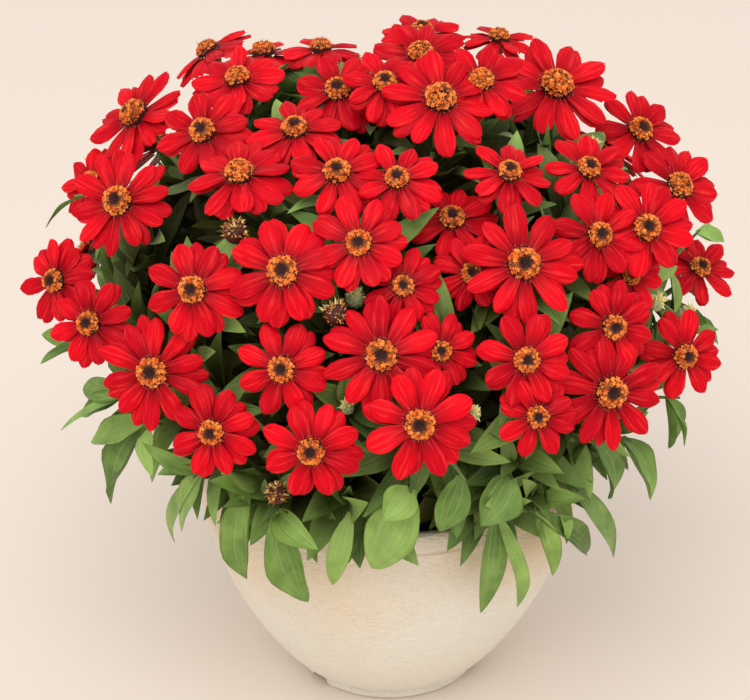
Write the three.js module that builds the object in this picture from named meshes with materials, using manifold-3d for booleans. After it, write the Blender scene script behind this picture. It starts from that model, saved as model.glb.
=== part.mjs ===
// Potted zinnia: three bushy bedding plants, grown together to one round mound of single
// scarlet blooms, in a cream bowl pot that stands on a notched foot ring.
// Millimetres, +Z up, the front towards -Y. The origin lies on the ground, in the middle
// of the pot's foot.

import * as THREE from 'three';
import Module from 'manifold-3d';
import { mergeVertices } from 'three/addons/utils/BufferGeometryUtils.js';

const wasm = await Module();
wasm.setup();

// Pot: foot ring, bowl wall and rolled lip
const FOOT_RADIUS = 59;
const FOOT_HEIGHT = 6;
const FOOT_WIDTH = 8;
const GROOVE_RADIUS = 57;
const GROOVE_HEIGHT = 8;
const BOWL_FOOT = { radius: 63.5, height: 9 };
const BOWL_TOP = { radius: 123, height: 150 };
const BOWL_CURVE = { fall: 1.8, swell: 0.87 };
const BOWL_STEPS = { count: 5, crowding: 1.4 };
const LIP = { radius: 126.5, step: 2, round: 4, crest: 2.5, width: 7, fall: 1 };
const POT_HEIGHT = 165;
const WALL = 6;
const RECESS_HEIGHT = 4;
const INSIDE_HEIGHTS = [38, 80];
const FLOOR_TOP = 14;
const FLOOR_ROUND = 6;
const DRAIN_RADIUS = 9;
const POT_SIDES = 24;
const NOTCH = { width: 15, height: 4.5, bearings: [-50, 67, 190] };

// Potting soil
const SOIL_TOP = 150;
const SOIL_CROWN = 4;
const SOIL_SHOULDER = 0.6;
const SOIL_GAP = 0.4;

// Plants: three main stems, each in a plain hole in the soil
const CROWN_RADIUS = 44;
const CROWNS = [
  { name: 'plant_left', bearing: -120 },
  { name: 'plant_right', bearing: 120 },
  { name: 'plant_back', bearing: 0 },
];
const CROWN_SPLAY = { from: SOIL_TOP, share: 0.3, height: 55 };
const MAIN_STEM = { radius: 4.5, gap: 0.5, bottom: 96, bend: 157, top: 212, narrowing: 0.7, sides: 6 };
const HOLE_BOTTOM = 95.5;
const STEM = { root: 2.6, neck: 1.7, sunk: 0.7, heel: 5, sides: 3, leaderSteps: 3, branchSteps: 2 };
const CUP = { length: 8, radius: 5.2, probes: [0.5, 1] };
const STEM_BEND = { root: 0.3, head: 0.33, rootShift: 0.6 };
const STEM_AHEAD = 0.02;
const LEADER_START = { toHead: 0.7, up: 0.5 };
const FORK_REACH = 85;
const FORK_SHARES = [0.5, 0.36, 0.64, 0.76, 0.27, 0.43, 0.57, 0.7];
const LEADER_ROOTS = { low: 174, step: 4.2 };
const SHOOT_ROOTS = { low: 158, step: 2.2 };
const TOP_ROOT = MAIN_STEM.top - 3;

// What a stem keeps clear of: it is probed along its way, and bent aside in steps where it is blocked
const STEM_PROBES = 40;
const ROOT_PROBES = 10;
const STEM_ROOM = 3;
const STEM_LAYER = 6.5;
const STEM_SPACE = 6.5;
const OWN_SPACES = [4.5, 0];
const DETOURS = { rings: 3, turns: 8, step: 14 };

// Leaves: corners as shares of the length along, of the width aside and of the length in height
const BLADE = 1.6;
const LEAF_RIM = [
  [0, 0, 0], [0.38, 0.5, 0.14], [0.76, 0.36, 0.11], [1, 0, 0], [0.76, -0.36, 0.11], [0.38, -0.5, 0.14],
];
const LEAF_RIDGE = [0.5, 0, 0.1];
const LEAF_KEEL = [0.3, 0, 0.06];
const LEAF_PROBES = [[0.38, 0.5], [0.38, -0.5], [0.6, 0], [0.8, 0.3], [0.8, -0.3], [1, 0]];
const LEAF_ARCH = 0.125;
const LEAF_LAYER = 5.5;
const LEAF_ROOM = 1.5;
const LEAF_HEEL = 0.16;

// Opposite pairs of leaves on the leaders: places to try, and the leaves' length and lie
const PAIR_TURNS = 9;
const PAIR_PLACES = [0.5, 0.65, 0.8];
const PAIR_LEAF = { length: 54, draws: [0.85, 1.1], out: 0.85, along: 0.42, width: 0.36 };

// Mound on which the blooms lie: half an ellipsoid, on a skirt that narrows to the pot
const MOUND_X = -4;
const MOUND_MIDDLE = 258;
const MOUND_RADIUS = 200;
const MOUND_RISE = 158;
const SKIRT_SLOPE = 0.43;

// Viewpoint from which blooms and hanging leaves are placed, in a picture 750 by 700
const PICTURE_MIDDLE = [375, 350];
const FOCAL_PIXELS = 2650;
const PITCH = THREE.MathUtils.degToRad(28);
const EYE = new THREE.Vector3(-9, -1467, 1004);
const SIGHT_REACH = [1150, 1950];
const UP = new THREE.Vector3(0, 0, 1);
const RIGHT = new THREE.Vector3(1, 0, 0);
const FORWARD = new THREE.Vector3(0, Math.cos(PITCH), -Math.sin(PITCH));
const DOWN = new THREE.Vector3(0, -Math.sin(PITCH), -Math.cos(PITCH));

// Blooms: the pixel of each disc, how wide the rays span in millimetres and, where a bloom
// doesn't face the light as its neighbours do, its facing, and where it stands behind or
// before the mound's edge, how much deeper. The order is from the
// uppermost down: each one lies as near the mound as those before it leave room for.
// A mate is joined to the bloom before it.
const BLOOMS = [
  { at: [419, 424], across: 58 },
  { at: [381, 355], across: 60 },
  { at: [610, 392], across: 61 },
  { at: [613, 327], across: 48, mate: true },
  { at: [311, 451], across: 52 },
  { at: [526, 360], across: 49 },
  { at: [537, 417], across: 43, mate: true },
  { at: [153, 372], across: 59 },
  { at: [212, 432], across: 48 },
  { at: [282, 369], across: 51 },
  { at: [684, 356], across: 49 },
  { at: [283, 271], across: 58 },
  { at: [359, 243], across: 50, mate: true },
  { at: [523, 264], across: 62 },
  { at: [441, 351], across: 40 },
  { at: [90, 323], across: 49 },
  { at: [56, 281], across: 48, facing: [-0.5, -0.75, 0.45], deeper: -48 },
  { at: [471, 273], across: 40 },
  { at: [403, 286], across: 42 },
  { at: [193, 290], across: 53 },
  { at: [599, 235], across: 49 },
  { at: [646, 228], across: 53, mate: true },
  { at: [699, 269], across: 46, facing: [0.3, -0.5, 0.8], deeper: 62 },
  { at: [452, 220], across: 50, facing: [0.06, -0.5, 0.86] },
  { at: [509, 174], across: 47, facing: [0.12, -0.4, 0.9] },
  { at: [397, 180], across: 47, facing: [-0.02, -0.57, 0.82] },
  { at: [337, 173], across: 51, mate: true },
  { at: [119, 202], across: 60 },
  { at: [630, 275], across: 40 },
  { at: [588, 170], across: 48, facing: [0.2, -0.5, 0.84] },
  { at: [678, 187], across: 57, facing: [0.35, -0.6, 0.72] },
  { at: [639, 131], across: 53, mate: true },
  { at: [240, 175], across: 56, facing: [-0.14, -0.36, 0.92] },
  { at: [295, 131], across: 52, facing: [-0.08, -0.33, 0.94] },
  { at: [203, 132], across: 52 },
  { at: [136, 116], across: 62, facing: [-0.55, -0.35, 0.75] },
  { at: [92, 182], across: 43 },
  { at: [440, 100], across: 63 },
  { at: [481, 82], across: 50, mate: true },
  { at: [556, 87], across: 68, facing: [0.15, -0.5, 0.85] },
  { at: [385, 84], across: 47 },
  { at: [338, 91], across: 51 },
  { at: [421, 56], across: 55 },
  { at: [238, 80], across: 51, facing: [-0.15, -0.3, 0.9] },
  { at: [422, 33], across: 50, facing: [0, -0.1, 1] },
  { at: [321, 50], across: 46, facing: [0, 0.1, 1] },
  { at: [264, 54], across: 52, facing: [-0.1, 0.1, 1] },
  { at: [499, 39], across: 45, facing: [0.1, 0, 1] },
  { at: [209, 52], across: 50, facing: [-0.55, 0.1, 0.83] },
];

// Far side, out of the photograph's sight: rows of joined pairs, by bearing from the back
const BACK_ROWS = [
  { height: 260, bearings: [-66, -22, 22, 64], across: 56 },
  { height: 310, bearings: [-45, 0, 44], across: 56 },
  { height: 352, bearings: [-14, 36], across: 54 },
];
const PAIR_SPREAD = 0.7;
const PAIR_DROP = 2.4;
const PAIR_RISE = 5;
const BACK_UP = 0.55;

// Buds and young heads on stems of their own, by pixel
const BUDS = [
  { at: [88, 155], size: 4 },
  { at: [595, 139], size: 4 },
  { at: [347, 403], size: 4 },
  { at: [474, 409], size: 4.5 },
  { at: [660, 298], size: 4.5 },
  { at: [690, 312], size: 6 },
  { at: [355, 293], size: 6 },
];

// Spent heads, brown, their rays dropped
const SPENT = [
  { at: [236, 234], size: 7 },
  { at: [335, 315], size: 7 },
  { at: [278, 495], size: 6 },
];

// Leafy shoots that hang out over the pot's lip: the pixel of the node that the leaves
// grow from, and of each leaf's tip with its width in millimetres
const SHOOTS = [
  { node: [88, 345], tips: [[41, 335, 14], [41, 364, 12]] },
  { node: [122, 396], tips: [[82, 389, 15], [60, 432, 7], [82, 417, 12]] },
  { node: [139, 424], tips: [[90, 442, 18], [111, 503, 22], [152, 476, 13]] },
  { node: [192, 478], tips: [[181, 532, 20], [175, 544, 12]] },
  { node: [243, 497], tips: [[247, 579, 22], [226, 514, 14]] },
  { node: [272, 520], tips: [[308, 603, 22], [318, 549, 18]] },
  { node: [352, 522], tips: [[332, 585, 14]] },
  { node: [410, 492], tips: [[371, 568, 30], [384, 520, 22]] },
  { node: [464, 480], tips: [[440, 531, 20], [444, 553, 11]] },
  { node: [512, 480], tips: [[481, 527, 28]] },
  { node: [500, 520], tips: [[481, 613, 18], [517, 607, 10]] },
  { node: [540, 520], tips: [[553, 576, 14], [586, 555, 16]] },
  { node: [580, 492], tips: [[613, 557, 17]] },
  { node: [600, 446], tips: [[608, 499, 18]] },
  { node: [632, 442], tips: [[650, 500, 24]] },
  { node: [680, 398], tips: [[668, 449, 22], [684, 448, 8]] },
  { node: [700, 333], tips: [[719, 330, 6]] },
  { node: [74, 196], tips: [[46, 229, 13]] },
];

// A bloom's shape: shares of its radius, and how far each ray may stray from the plain form
const HUB_SHARE = 0.29;
const WIDEST_SHARE = 0.66;
const TIP = { out: 0.95, width: 0.45 };
const REACH = [0.93, 1.04];
const CUPPING = [-0.10, 0.04];
const FLORETS = [{ out: 0.92, height: 0.24 }, { out: 0.6, height: 0.3 }];
const DIMPLE_HEIGHT = 0.21;

// Heights in a bloom over the plane of its rays: places down its middle that are kept free, half
// the hub, and each second ray's edge, tip and rib
const CORE_HEIGHTS = [9, 5, 0, -6, -12, -20, -30];
const PROBE_SHARES = [0.55, 1];
const PROBE_TURNS = 12;
const HUB_HALF = 0.8;
const RAY_LAYERS = [
  { edge: 1.3, tip: 1.1, ridge: 2.3 },
  { edge: -1.3, tip: -2.8, ridge: -0.2 },
];
const TIP_STRAY = [-1.2, 1.2];
const MANY_RAYS = 29.5;
const RAY_FILL = 0.92;
const NECK = { radius: 4.4, depth: 3.2 };
const SEAT_GAP = 0.3;
const MATE_DROP = 2;
const LAYER = 7;
const RAY_ROOM = 1;
const NEIGHBOUR_ROOM = 32;
const SETTLE = { step: 2, most: 90 };

// Lean of the blooms towards the light in front: the least, that at the front, and by place
const LIGHT_LEAN = { least: 0.15, front: 0.7, depth: 150, side: 0.9 };

// Small heads and shoots: how far outside the mound's surface they stand, and how they turn up
const BUD_GROW = -4;
const SPENT_GROW = -8;
const HEAD_UP = 0.6;
const BUD_SHAPE = [[0.6, 1], [1.6, 0.9], [2.3, 0.35]];
const SPENT_SHAPE = [[1, 0], [0.95, 0.7], [0.5, 1.3], [0, 1.15]];
const SPENT_SIDES = 6;
const SHOOT = { nodeGrow: -12, tipGrow: 2, leafUp: 0.6, hang: -0.45, stand: 0.4, leafPlace: 0.94 };
const HANGING_BELOW = 215;
const FAR_SHOOTS = 3;

// First seeds of the draws for the blooms and for the leaf pairs
const BLOOM_SEED = { first: 1000, step: 37 };
const PAIR_SEED = 5000;

const petalRed = new THREE.MeshStandardMaterial({ color: 0xe01a22, roughness: 0.55, metalness: 0 });
const leafGreen = new THREE.MeshStandardMaterial({ color: 0x5f8f45, roughness: 0.6, metalness: 0 });
const spentBrown = new THREE.MeshStandardMaterial({ color: 0x8a5a24, roughness: 0.9, metalness: 0 });
const potCream = new THREE.MeshStandardMaterial({ color: 0xe6dcc6, roughness: 0.7, metalness: 0 });
const soilBrown = new THREE.MeshStandardMaterial({ color: 0x3a2a1e, roughness: 1, metalness: 0 });

// A repeatable row of draws for each piece, so that one piece never changes another's
function drawsFrom(seed) {
  let state = seed;
  return (low, high) => {
    state = (state * 16807) % 2147483647;
    return low + (high - low) * (state / 2147483647);
  };
}

// Solids to cut and join, from corners and faces or from a three.js geometry
function solidOf(corners, faces) {
  return new wasm.Manifold(new wasm.Mesh({
    numProp: 3,
    vertProperties: new Float32Array(corners.flatMap((corner) => corner.toArray())),
    triVerts: new Uint32Array(faces.flat()),
  }));
}

function solidOfGeometry(geometry) {
  geometry.deleteAttribute('normal');
  geometry.deleteAttribute('uv');
  const merged = mergeVertices(geometry, 1e-3);
  return new wasm.Manifold(new wasm.Mesh({
    numProp: 3,
    vertProperties: new Float32Array(merged.attributes.position.array),
    triVerts: new Uint32Array(merged.index.array),
  }));
}

function geometryOf(solid) {
  const { vertProperties, triVerts } = solid.getMesh();
  const geometry = new THREE.BufferGeometry();
  geometry.setAttribute('position', new THREE.BufferAttribute(vertProperties, 3));
  geometry.setIndex(new THREE.BufferAttribute(triVerts, 1));
  geometry.computeVertexNormals();
  return geometry;
}

function joined(solids) {
  return solids.reduce((whole, solid) => whole.add(solid));
}

// Two directions across an axis, the first of them level
function acrossAxis(axis) {
  const level = Math.abs(axis.z) > 0.999 ? RIGHT.clone() : UP.clone().cross(axis).normalize();
  return [level, axis.clone().cross(level)];
}

// How far a point lies outside the mound
function moundGap(point, grow) {
  const out = Math.hypot(point.x - MOUND_X, point.y);
  const above = point.z - MOUND_MIDDLE;
  if (above > MOUND_RISE) return Math.hypot(out, above - MOUND_RISE);
  if (above < 0) return out - (MOUND_RADIUS + above * SKIRT_SLOPE + grow);
  return out - (MOUND_RADIUS * Math.sqrt(1 - (above / MOUND_RISE) ** 2) + grow);
}

// Where the line of sight through a pixel first meets the mound, or passes it nearest
function sighted([across, down], grow = 0) {
  const sight = FORWARD.clone()
    .addScaledVector(RIGHT, (across - PICTURE_MIDDLE[0]) / FOCAL_PIXELS)
    .addScaledVector(DOWN, (down - PICTURE_MIDDLE[1]) / FOCAL_PIXELS)
    .normalize();
  let point = null;
  let least = Infinity;
  for (let reach = SIGHT_REACH[0]; reach < SIGHT_REACH[1] && least > 0; reach += 1) {
    const here = EYE.clone().addScaledVector(sight, reach);
    const gap = moundGap(here, grow);
    if (gap < least) {
      least = gap;
      point = here;
    }
  }
  return { point, sight };
}

function moundNormal(point) {
  return new THREE.Vector3(
    (point.x - MOUND_X) / MOUND_RADIUS ** 2,
    point.y / MOUND_RADIUS ** 2,
    Math.max(0, point.z - MOUND_MIDDLE) / MOUND_RISE ** 2,
  ).normalize();
}

// Blooms turn from the mound towards the light in front, most of all at the front and sides
function facingLight(point) {
  const { least, front, depth, side } = LIGHT_LEAN;
  const lean = Math.max(least, front - point.y / depth + (side * Math.abs(point.x)) / MOUND_RADIUS);
  return moundNormal(point).addScaledVector(FORWARD, -lean).normalize();
}

// Whether a point lies in the layer that a bloom's rays fill
function inLayer(point, bloom, layer, room) {
  const offset = point.clone().sub(bloom.centre);
  const height = offset.dot(bloom.facing);
  const out = Math.sqrt(Math.max(0, offset.lengthSq() - height * height));
  return Math.abs(height) < layer && out < bloom.radius + room;
}

// Points on a bloom's rays and down its middle, from the disc to the stem
function probes(bloom) {
  const [level, rise] = acrossAxis(bloom.facing);
  const points = CORE_HEIGHTS.map(
    (height) => bloom.centre.clone().addScaledVector(bloom.facing, height),
  );
  for (const share of PROBE_SHARES) {
    for (let k = 0; k < PROBE_TURNS; k += 1) {
      const turn = (k * 2 * Math.PI) / PROBE_TURNS;
      points.push(bloom.centre.clone()
        .addScaledVector(level, Math.cos(turn) * share * bloom.radius)
        .addScaledVector(rise, Math.sin(turn) * share * bloom.radius));
    }
  }
  return points;
}

function meet(one, other) {
  if (one.centre.distanceTo(other.centre) > one.radius + other.radius + NEIGHBOUR_ROOM) return false;
  const reaches = (from, to) => probes(from).some((point, k) => (
    inLayer(point, to, LAYER, k < CORE_HEIGHTS.length ? STEM_ROOM : RAY_ROOM)));
  return reaches(one, other) || reaches(other, one);
}

// Moves a bloom along a line until it is clear of those that are placed
function settle(bloom, along, placed) {
  for (let moved = 0; moved < SETTLE.most; moved += SETTLE.step) {
    if (!placed.some((other) => meet(bloom, other))) return moved;
    bloom.centre.addScaledVector(along, SETTLE.step);
  }
  throw new Error(`no room for bloom ${bloom.index}`);
}

function placeBlooms() {
  const placed = [];
  for (const { at, across, facing, mate, deeper = 0 } of BLOOMS) {
    const { point, sight } = sighted(at);
    point.addScaledVector(sight, deeper);
    const bloom = { index: placed.length, centre: point, radius: across / 2, mate: Boolean(mate) };
    if (mate) {
      const first = placed[placed.length - 1];
      bloom.facing = first.facing.clone();
      const height = point.clone().sub(first.centre).dot(first.facing);
      point.addScaledVector(sight, (-MATE_DROP - height) / sight.dot(first.facing));
      bloom.moved = 0;
    } else {
      bloom.facing = facing ? new THREE.Vector3(...facing).normalize() : facingLight(point);
      bloom.moved = settle(bloom, sight, placed);
    }
    placed.push(bloom);
  }
  for (const row of BACK_ROWS) {
    for (const bearing of row.bearings) {
      const level = Math.max(0, row.height - MOUND_MIDDLE) / MOUND_RISE;
      const out = MOUND_RADIUS * Math.sqrt(1 - level * level);
      const turn = THREE.MathUtils.degToRad(bearing);
      const middle = new THREE.Vector3(MOUND_X + out * Math.sin(turn), out * Math.cos(turn), row.height);
      const facing = moundNormal(middle).addScaledVector(UP, BACK_UP).normalize();
      const [across, rise] = acrossAxis(facing);
      for (const side of [-1, 1]) {
        const centre = middle.clone()
          .addScaledVector(across, (side * PAIR_SPREAD * row.across) / 2)
          .addScaledVector(rise, side * PAIR_RISE);
        const bloom = {
          index: placed.length, centre, facing, radius: row.across / 2, mate: side > 0, moved: 0,
        };
        if (side < 0) {
          bloom.moved = settle(bloom, facing.clone().negate(), placed);
        } else {
          centre.addScaledVector(facing, -PAIR_DROP - placed[placed.length - 1].moved);
        }
        placed.push(bloom);
      }
    }
  }
  return placed;
}

// A bloom's solid: a star of rays, every second one lower, round a raised disc, on a flat neck
function bloomSolid(bloom) {
  const draw = drawsFrom(BLOOM_SEED.first + BLOOM_SEED.step * bloom.index);
  const size = bloom.radius;
  const count = size < MANY_RAYS ? 8 : 10;
  const turn = draw(0, Math.PI);
  const cupping = draw(...CUPPING) * size;
  const hub = HUB_SHARE * size;
  const widest = WIDEST_SHARE * size;
  const corners = [];
  const faces = [];
  const [level, rise] = acrossAxis(bloom.facing);
  const place = (out, side, height, angle) => {
    const x = out * Math.cos(angle) - side * Math.sin(angle);
    const y = out * Math.sin(angle) + side * Math.cos(angle);
    const z = height + cupping * ((x * x + y * y) / (size * size));
    corners.push(bloom.centre.clone()
      .addScaledVector(level, x).addScaledVector(rise, y).addScaledVector(bloom.facing, z));
    return corners.length - 1;
  };
  const ringAt = (points, out, height) => Array.from({ length: points }, (_, k) => (
    place(out, 0, height, turn + (k * 2 * Math.PI) / points)));
  const top = ringAt(count, hub, HUB_HALF);
  const under = ringAt(count, hub, -HUB_HALF);
  const florets = Array.from({ length: count }, (_, k) => {
    const { out, height } = FLORETS[k % 2];
    return place(out * hub, 0, height * size, turn + (k * 2 * Math.PI) / count);
  });
  const neck = ringAt(count / 2, NECK.radius, -NECK.depth);
  const dimple = place(0, 0, DIMPLE_HEIGHT * size, 0);
  for (let i = 0; i < count; i += 1) {
    const next = (i + 1) % count;
    const { edge, tip, ridge } = RAY_LAYERS[i % 2];
    const middle = turn + ((i + 0.5) * 2 * Math.PI) / count;
    const reach = draw(...REACH);
    const half = RAY_FILL * Math.tan(Math.PI / count) * widest * reach;
    const tipHeight = tip + draw(...TIP_STRAY);
    const near = place(widest * reach, -half, edge, middle);
    const nearTip = place(TIP.out * size * reach, -TIP.width * half, tipHeight, middle);
    const farTip = place(TIP.out * size * reach, TIP.width * half, tipHeight, middle);
    const far = place(widest * reach, half, edge, middle);
    const rib = place(widest, 0, ridge, middle);
    const outline = [top[i], near, nearTip, farTip, far, top[next]];
    outline.forEach((corner, k) => faces.push([rib, corner, outline[(k + 1) % 6]]));
    faces.push([under[i], under[next], far], [under[i], far, farTip], [under[i], farTip, nearTip]);
    faces.push([under[i], nearTip, near]);
    faces.push([near, top[i], under[i]], [top[next], far, under[next]]);
    faces.push([top[i], top[next], florets[next]], [top[i], florets[next], florets[i]]);
    faces.push([florets[i], florets[next], dimple]);
  }
  for (let i = 0; i < count / 2; i += 1) {
    const [a, b, c] = [2 * i, 2 * i + 1, (2 * i + 2) % count];
    const next = (i + 1) % (count / 2);
    faces.push([under[b], under[a], neck[i]], [under[c], under[b], neck[next]]);
    faces.push([under[b], neck[i], neck[next]]);
    if (i > 1) faces.push([neck[0], neck[i], neck[i - 1]]);
  }
  return solidOf(corners, faces);
}

// A closed tube of few sides through points, with a radius at each
function tube(points, radii, sides) {
  const corners = [];
  const faces = [];
  let [side] = acrossAxis(points[1].clone().sub(points[0]).normalize());
  points.forEach((point, i) => {
    const before = points[Math.max(0, i - 1)];
    const after = points[Math.min(points.length - 1, i + 1)];
    const along = after.clone().sub(before).normalize();
    side = side.clone().addScaledVector(along, -side.dot(along)).normalize();
    const other = along.clone().cross(side);
    for (let k = 0; k < sides; k += 1) {
      const turn = (k * 2 * Math.PI) / sides;
      corners.push(point.clone()
        .addScaledVector(side, radii[i] * Math.cos(turn))
        .addScaledVector(other, radii[i] * Math.sin(turn)));
    }
  });
  for (let i = 0; i < points.length - 1; i += 1) {
    for (let k = 0; k < sides; k += 1) {
      const a = i * sides + k;
      const b = i * sides + ((k + 1) % sides);
      faces.push([a, b, b + sides], [a, b + sides, a + sides]);
    }
  }
  const last = (points.length - 1) * sides;
  for (let k = 1; k < sides - 1; k += 1) {
    faces.push([0, k + 1, k], [last, last + k, last + k + 1]);
  }
  return solidOf(corners, faces);
}

// A leaf: a thin blade, folded and arched along a ridge, over a keel that is deepest near the stem
function leafSolid({ base, tip, up, width }) {
  const along = tip.clone().sub(base);
  const length = along.length();
  along.normalize();
  const across = along.clone().cross(up).normalize();
  const over = across.clone().cross(along);
  const at = ([share, side, height]) => base.clone()
    .addScaledVector(along, share * length)
    .addScaledVector(across, side * width)
    .addScaledVector(over, height * length);
  const corners = [...LEAF_RIM.map(at), at(LEAF_RIDGE), at(LEAF_KEEL).addScaledVector(over, -BLADE)];
  const rim = LEAF_RIM.length;
  const faces = [];
  for (let k = 0; k < rim; k += 1) {
    const next = (k + 1) % rim;
    faces.push([rim, k, next], [rim + 1, next, k]);
  }
  return solidOf(corners, faces);
}

function bezier(ends, share) {
  const [a, b, c, d] = ends;
  const rest = 1 - share;
  return new THREE.Vector3()
    .addScaledVector(a, rest ** 3).addScaledVector(b, 3 * rest * rest * share)
    .addScaledVector(c, 3 * rest * share * share).addScaledVector(d, share ** 3);
}

function crownPoint(crown, height) {
  const turn = THREE.MathUtils.degToRad(crown.bearing);
  const above = Math.max(0, (height - CROWN_SPLAY.from) / CROWN_SPLAY.height);
  const out = CROWN_RADIUS * (1 + CROWN_SPLAY.share * above);
  return new THREE.Vector3(out * Math.sin(turn), out * Math.cos(turn), height);
}

// The plant whose third of the mound a point lies in
function plantOf(point) {
  const toward = (crown) => point.x * Math.sin(THREE.MathUtils.degToRad(crown.bearing))
    + point.y * Math.cos(THREE.MathUtils.degToRad(crown.bearing));
  return CROWNS.reduce((best, crown) => (toward(crown) > toward(best) ? crown : best));
}

// A place at a share of the way along a row of points
function placeAlong(points, share) {
  const place = Math.min(share * (points.length - 1), points.length - 1.001);
  const i = Math.floor(place);
  return points[i].clone().lerp(points[i + 1], place - i);
}

// Whether a stem runs through a bloom other than its own, or close by another stem; near the
// roots, stems of one plant may meet
function blocked(probed, own, crown, blooms, stems, ownSpace) {
  return probed.some((point, k) => {
    if (k < 2) return false;
    const inCup = k > STEM_PROBES;
    const inBloom = (bloom) => bloom !== own && inLayer(point, bloom, STEM_LAYER, STEM_ROOM);
    if (!inCup && blooms.some(inBloom)) return true;
    return stems.some((stem) => {
      const strange = stem.crown !== crown;
      const space = strange ? STEM_SPACE : ownSpace;
      if (!strange && k < ROOT_PROBES) return false;
      return stem.probed.some((other, i) => (
        (strange || i >= ROOT_PROBES) && other.distanceToSquared(point) < space ** 2));
    });
  });
}

// A stem from a root up to the underside of its head's cup, bent aside where it would run
// through another bloom
function clearStem(head, root, start, steps, crown, blooms, stems) {
  const foot = head.node ? head.centre
    : head.centre.clone().addScaledVector(head.facing, -(NECK.depth + SEAT_GAP + CUP.length));
  const chord = foot.clone().sub(root);
  const length = chord.length();
  const [side, other] = acrossAxis(chord.clone().normalize());
  for (const ownSpace of OWN_SPACES) {
    for (let k = 0; k <= DETOURS.turns * DETOURS.rings; k += 1) {
      const detour = DETOURS.step * Math.ceil(k / DETOURS.turns);
      const turn = (k * 2 * Math.PI) / DETOURS.turns;
      const shift = side.clone().multiplyScalar(detour * Math.cos(turn))
        .addScaledVector(other, detour * Math.sin(turn));
      const ends = [
        root,
        root.clone().addScaledVector(start, STEM_BEND.root * length)
          .addScaledVector(shift, STEM_BEND.rootShift),
        foot.clone().addScaledVector(head.facing, -STEM_BEND.head * length).add(shift),
        foot,
      ];
      const points = Array.from({ length: steps + 1 }, (_, i) => bezier(ends, i / steps));
      const probed = Array.from({ length: STEM_PROBES + 1 }, (_, i) => (
        placeAlong(points, i / STEM_PROBES)));
      if (!head.node) probed.push(...CUP.probes.map((share) => (
        foot.clone().addScaledVector(head.facing, share * CUP.length))));
      if (!blocked(probed, head, crown, blooms, stems, ownSpace)) return { points, probed };
    }
  }
  return null;
}

// A head's stem: a branch of the nearest leader, or a leader of its own from the crown
function growStem(head, blooms, stems) {
  const crown = plantOf(head.centre);
  const own = stems.filter((stem) => stem.crown === crown);
  const leaders = own
    .filter((stem) => stem.leader && !head.low && stem.branches < FORK_SHARES.length)
    .map((stem) => ({ stem, far: stem.head.centre.distanceTo(head.centre) }))
    .filter(({ far }) => far < FORK_REACH)
    .sort((one, two) => one.far - two.far);
  for (const { stem } of leaders) {
    const share = FORK_SHARES[stem.branches];
    const root = placeAlong(stem.points, share);
    const start = placeAlong(stem.points, share + STEM_AHEAD).sub(root).normalize()
      .add(head.centre.clone().sub(root).normalize()).normalize();
    const way = clearStem(head, root, start, STEM.branchSteps, crown, blooms, stems);
    if (way) {
      stem.branches += 1;
      return { crown, head, leader: false, ...way };
    }
  }
  const roots = head.low ? SHOOT_ROOTS : LEADER_ROOTS;
  const before = own.filter((stem) => stem.fromCrown && Boolean(stem.head.low) === Boolean(head.low));
  const root = crownPoint(crown, Math.min(TOP_ROOT, roots.low + roots.step * before.length));
  const start = head.centre.clone().sub(root).normalize().multiplyScalar(LEADER_START.toHead)
    .addScaledVector(UP, LEADER_START.up);
  const steps = head.node ? STEM.branchSteps + 1 : STEM.leaderSteps;
  const way = clearStem(head, root, start, steps, crown, blooms, stems);
  if (!way) throw new Error(`no way for the stem of ${head.name ?? head.index}`);
  return { crown, head, leader: !head.node, fromCrown: true, branches: 0, ...way };
}

function stemSolid({ points: way, head, fromCrown }) {
  const points = [...way];
  const radii = way.map((_, i) => STEM.root + (STEM.neck - STEM.root) * (i / (way.length - 1)));
  if (!fromCrown) {
    radii.fill(STEM.neck);
    points.splice(1, 0, way[0].clone().lerp(way[1], STEM.heel / way[0].distanceTo(way[1])));
    radii.unshift(STEM.sunk);
  }
  const foot = way[way.length - 1];
  const add = (height, radius) => {
    points.push(foot.clone().addScaledVector(head.facing, height));
    radii.push(radius);
  };
  if (head.bud) {
    BUD_SHAPE.forEach(([height, radius]) => add(height * head.bud, radius * head.bud));
  } else if (!head.node) {
    add(CUP.length, CUP.radius);
  }
  return tube(points, radii, STEM.sides);
}

// Whether a leaf stays clear of every bloom's layer
function leafClear(leaf, blooms) {
  const along = leaf.tip.clone().sub(leaf.base);
  const across = along.clone().cross(leaf.up).normalize();
  const over = across.clone().cross(along).normalize();
  const arch = LEAF_ARCH * along.length();
  const points = LEAF_PROBES.map(([share, side]) => leaf.base.clone().addScaledVector(along, share)
    .addScaledVector(across, side * leaf.width)
    .addScaledVector(over, 4 * arch * share * (1 - share)));
  return !points.some((point) => blooms.some((bloom) => inLayer(point, bloom, LEAF_LAYER, LEAF_ROOM)));
}

// Places for an opposite pair of leaves on a leader, one for each turn and height to try
function leafPairs(stem, seed) {
  const draw = drawsFrom(seed);
  const start = draw(0, Math.PI);
  const length = PAIR_LEAF.length * draw(...PAIR_LEAF.draws);
  return Array.from({ length: PAIR_TURNS }, (_, k) => {
    const share = PAIR_PLACES[k % PAIR_PLACES.length];
    const base = placeAlong(stem.points, share);
    const along = placeAlong(stem.points, share + STEM_AHEAD).sub(base).normalize();
    const [side, other] = acrossAxis(along);
    const turn = start + (k * Math.PI) / PAIR_TURNS;
    return [-1, 1].map((way) => {
      const out = side.clone().multiplyScalar(way * Math.cos(turn))
        .addScaledVector(other, way * Math.sin(turn));
      const tip = base.clone().addScaledVector(out, PAIR_LEAF.out * length)
        .addScaledVector(along, PAIR_LEAF.along * length);
      return { base, tip, up: along.clone(), width: PAIR_LEAF.width * length };
    });
  });
}

function turnedHalf(point) {
  return new THREE.Vector3(2 * MOUND_X - point.x, -point.y, point.z);
}

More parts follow.
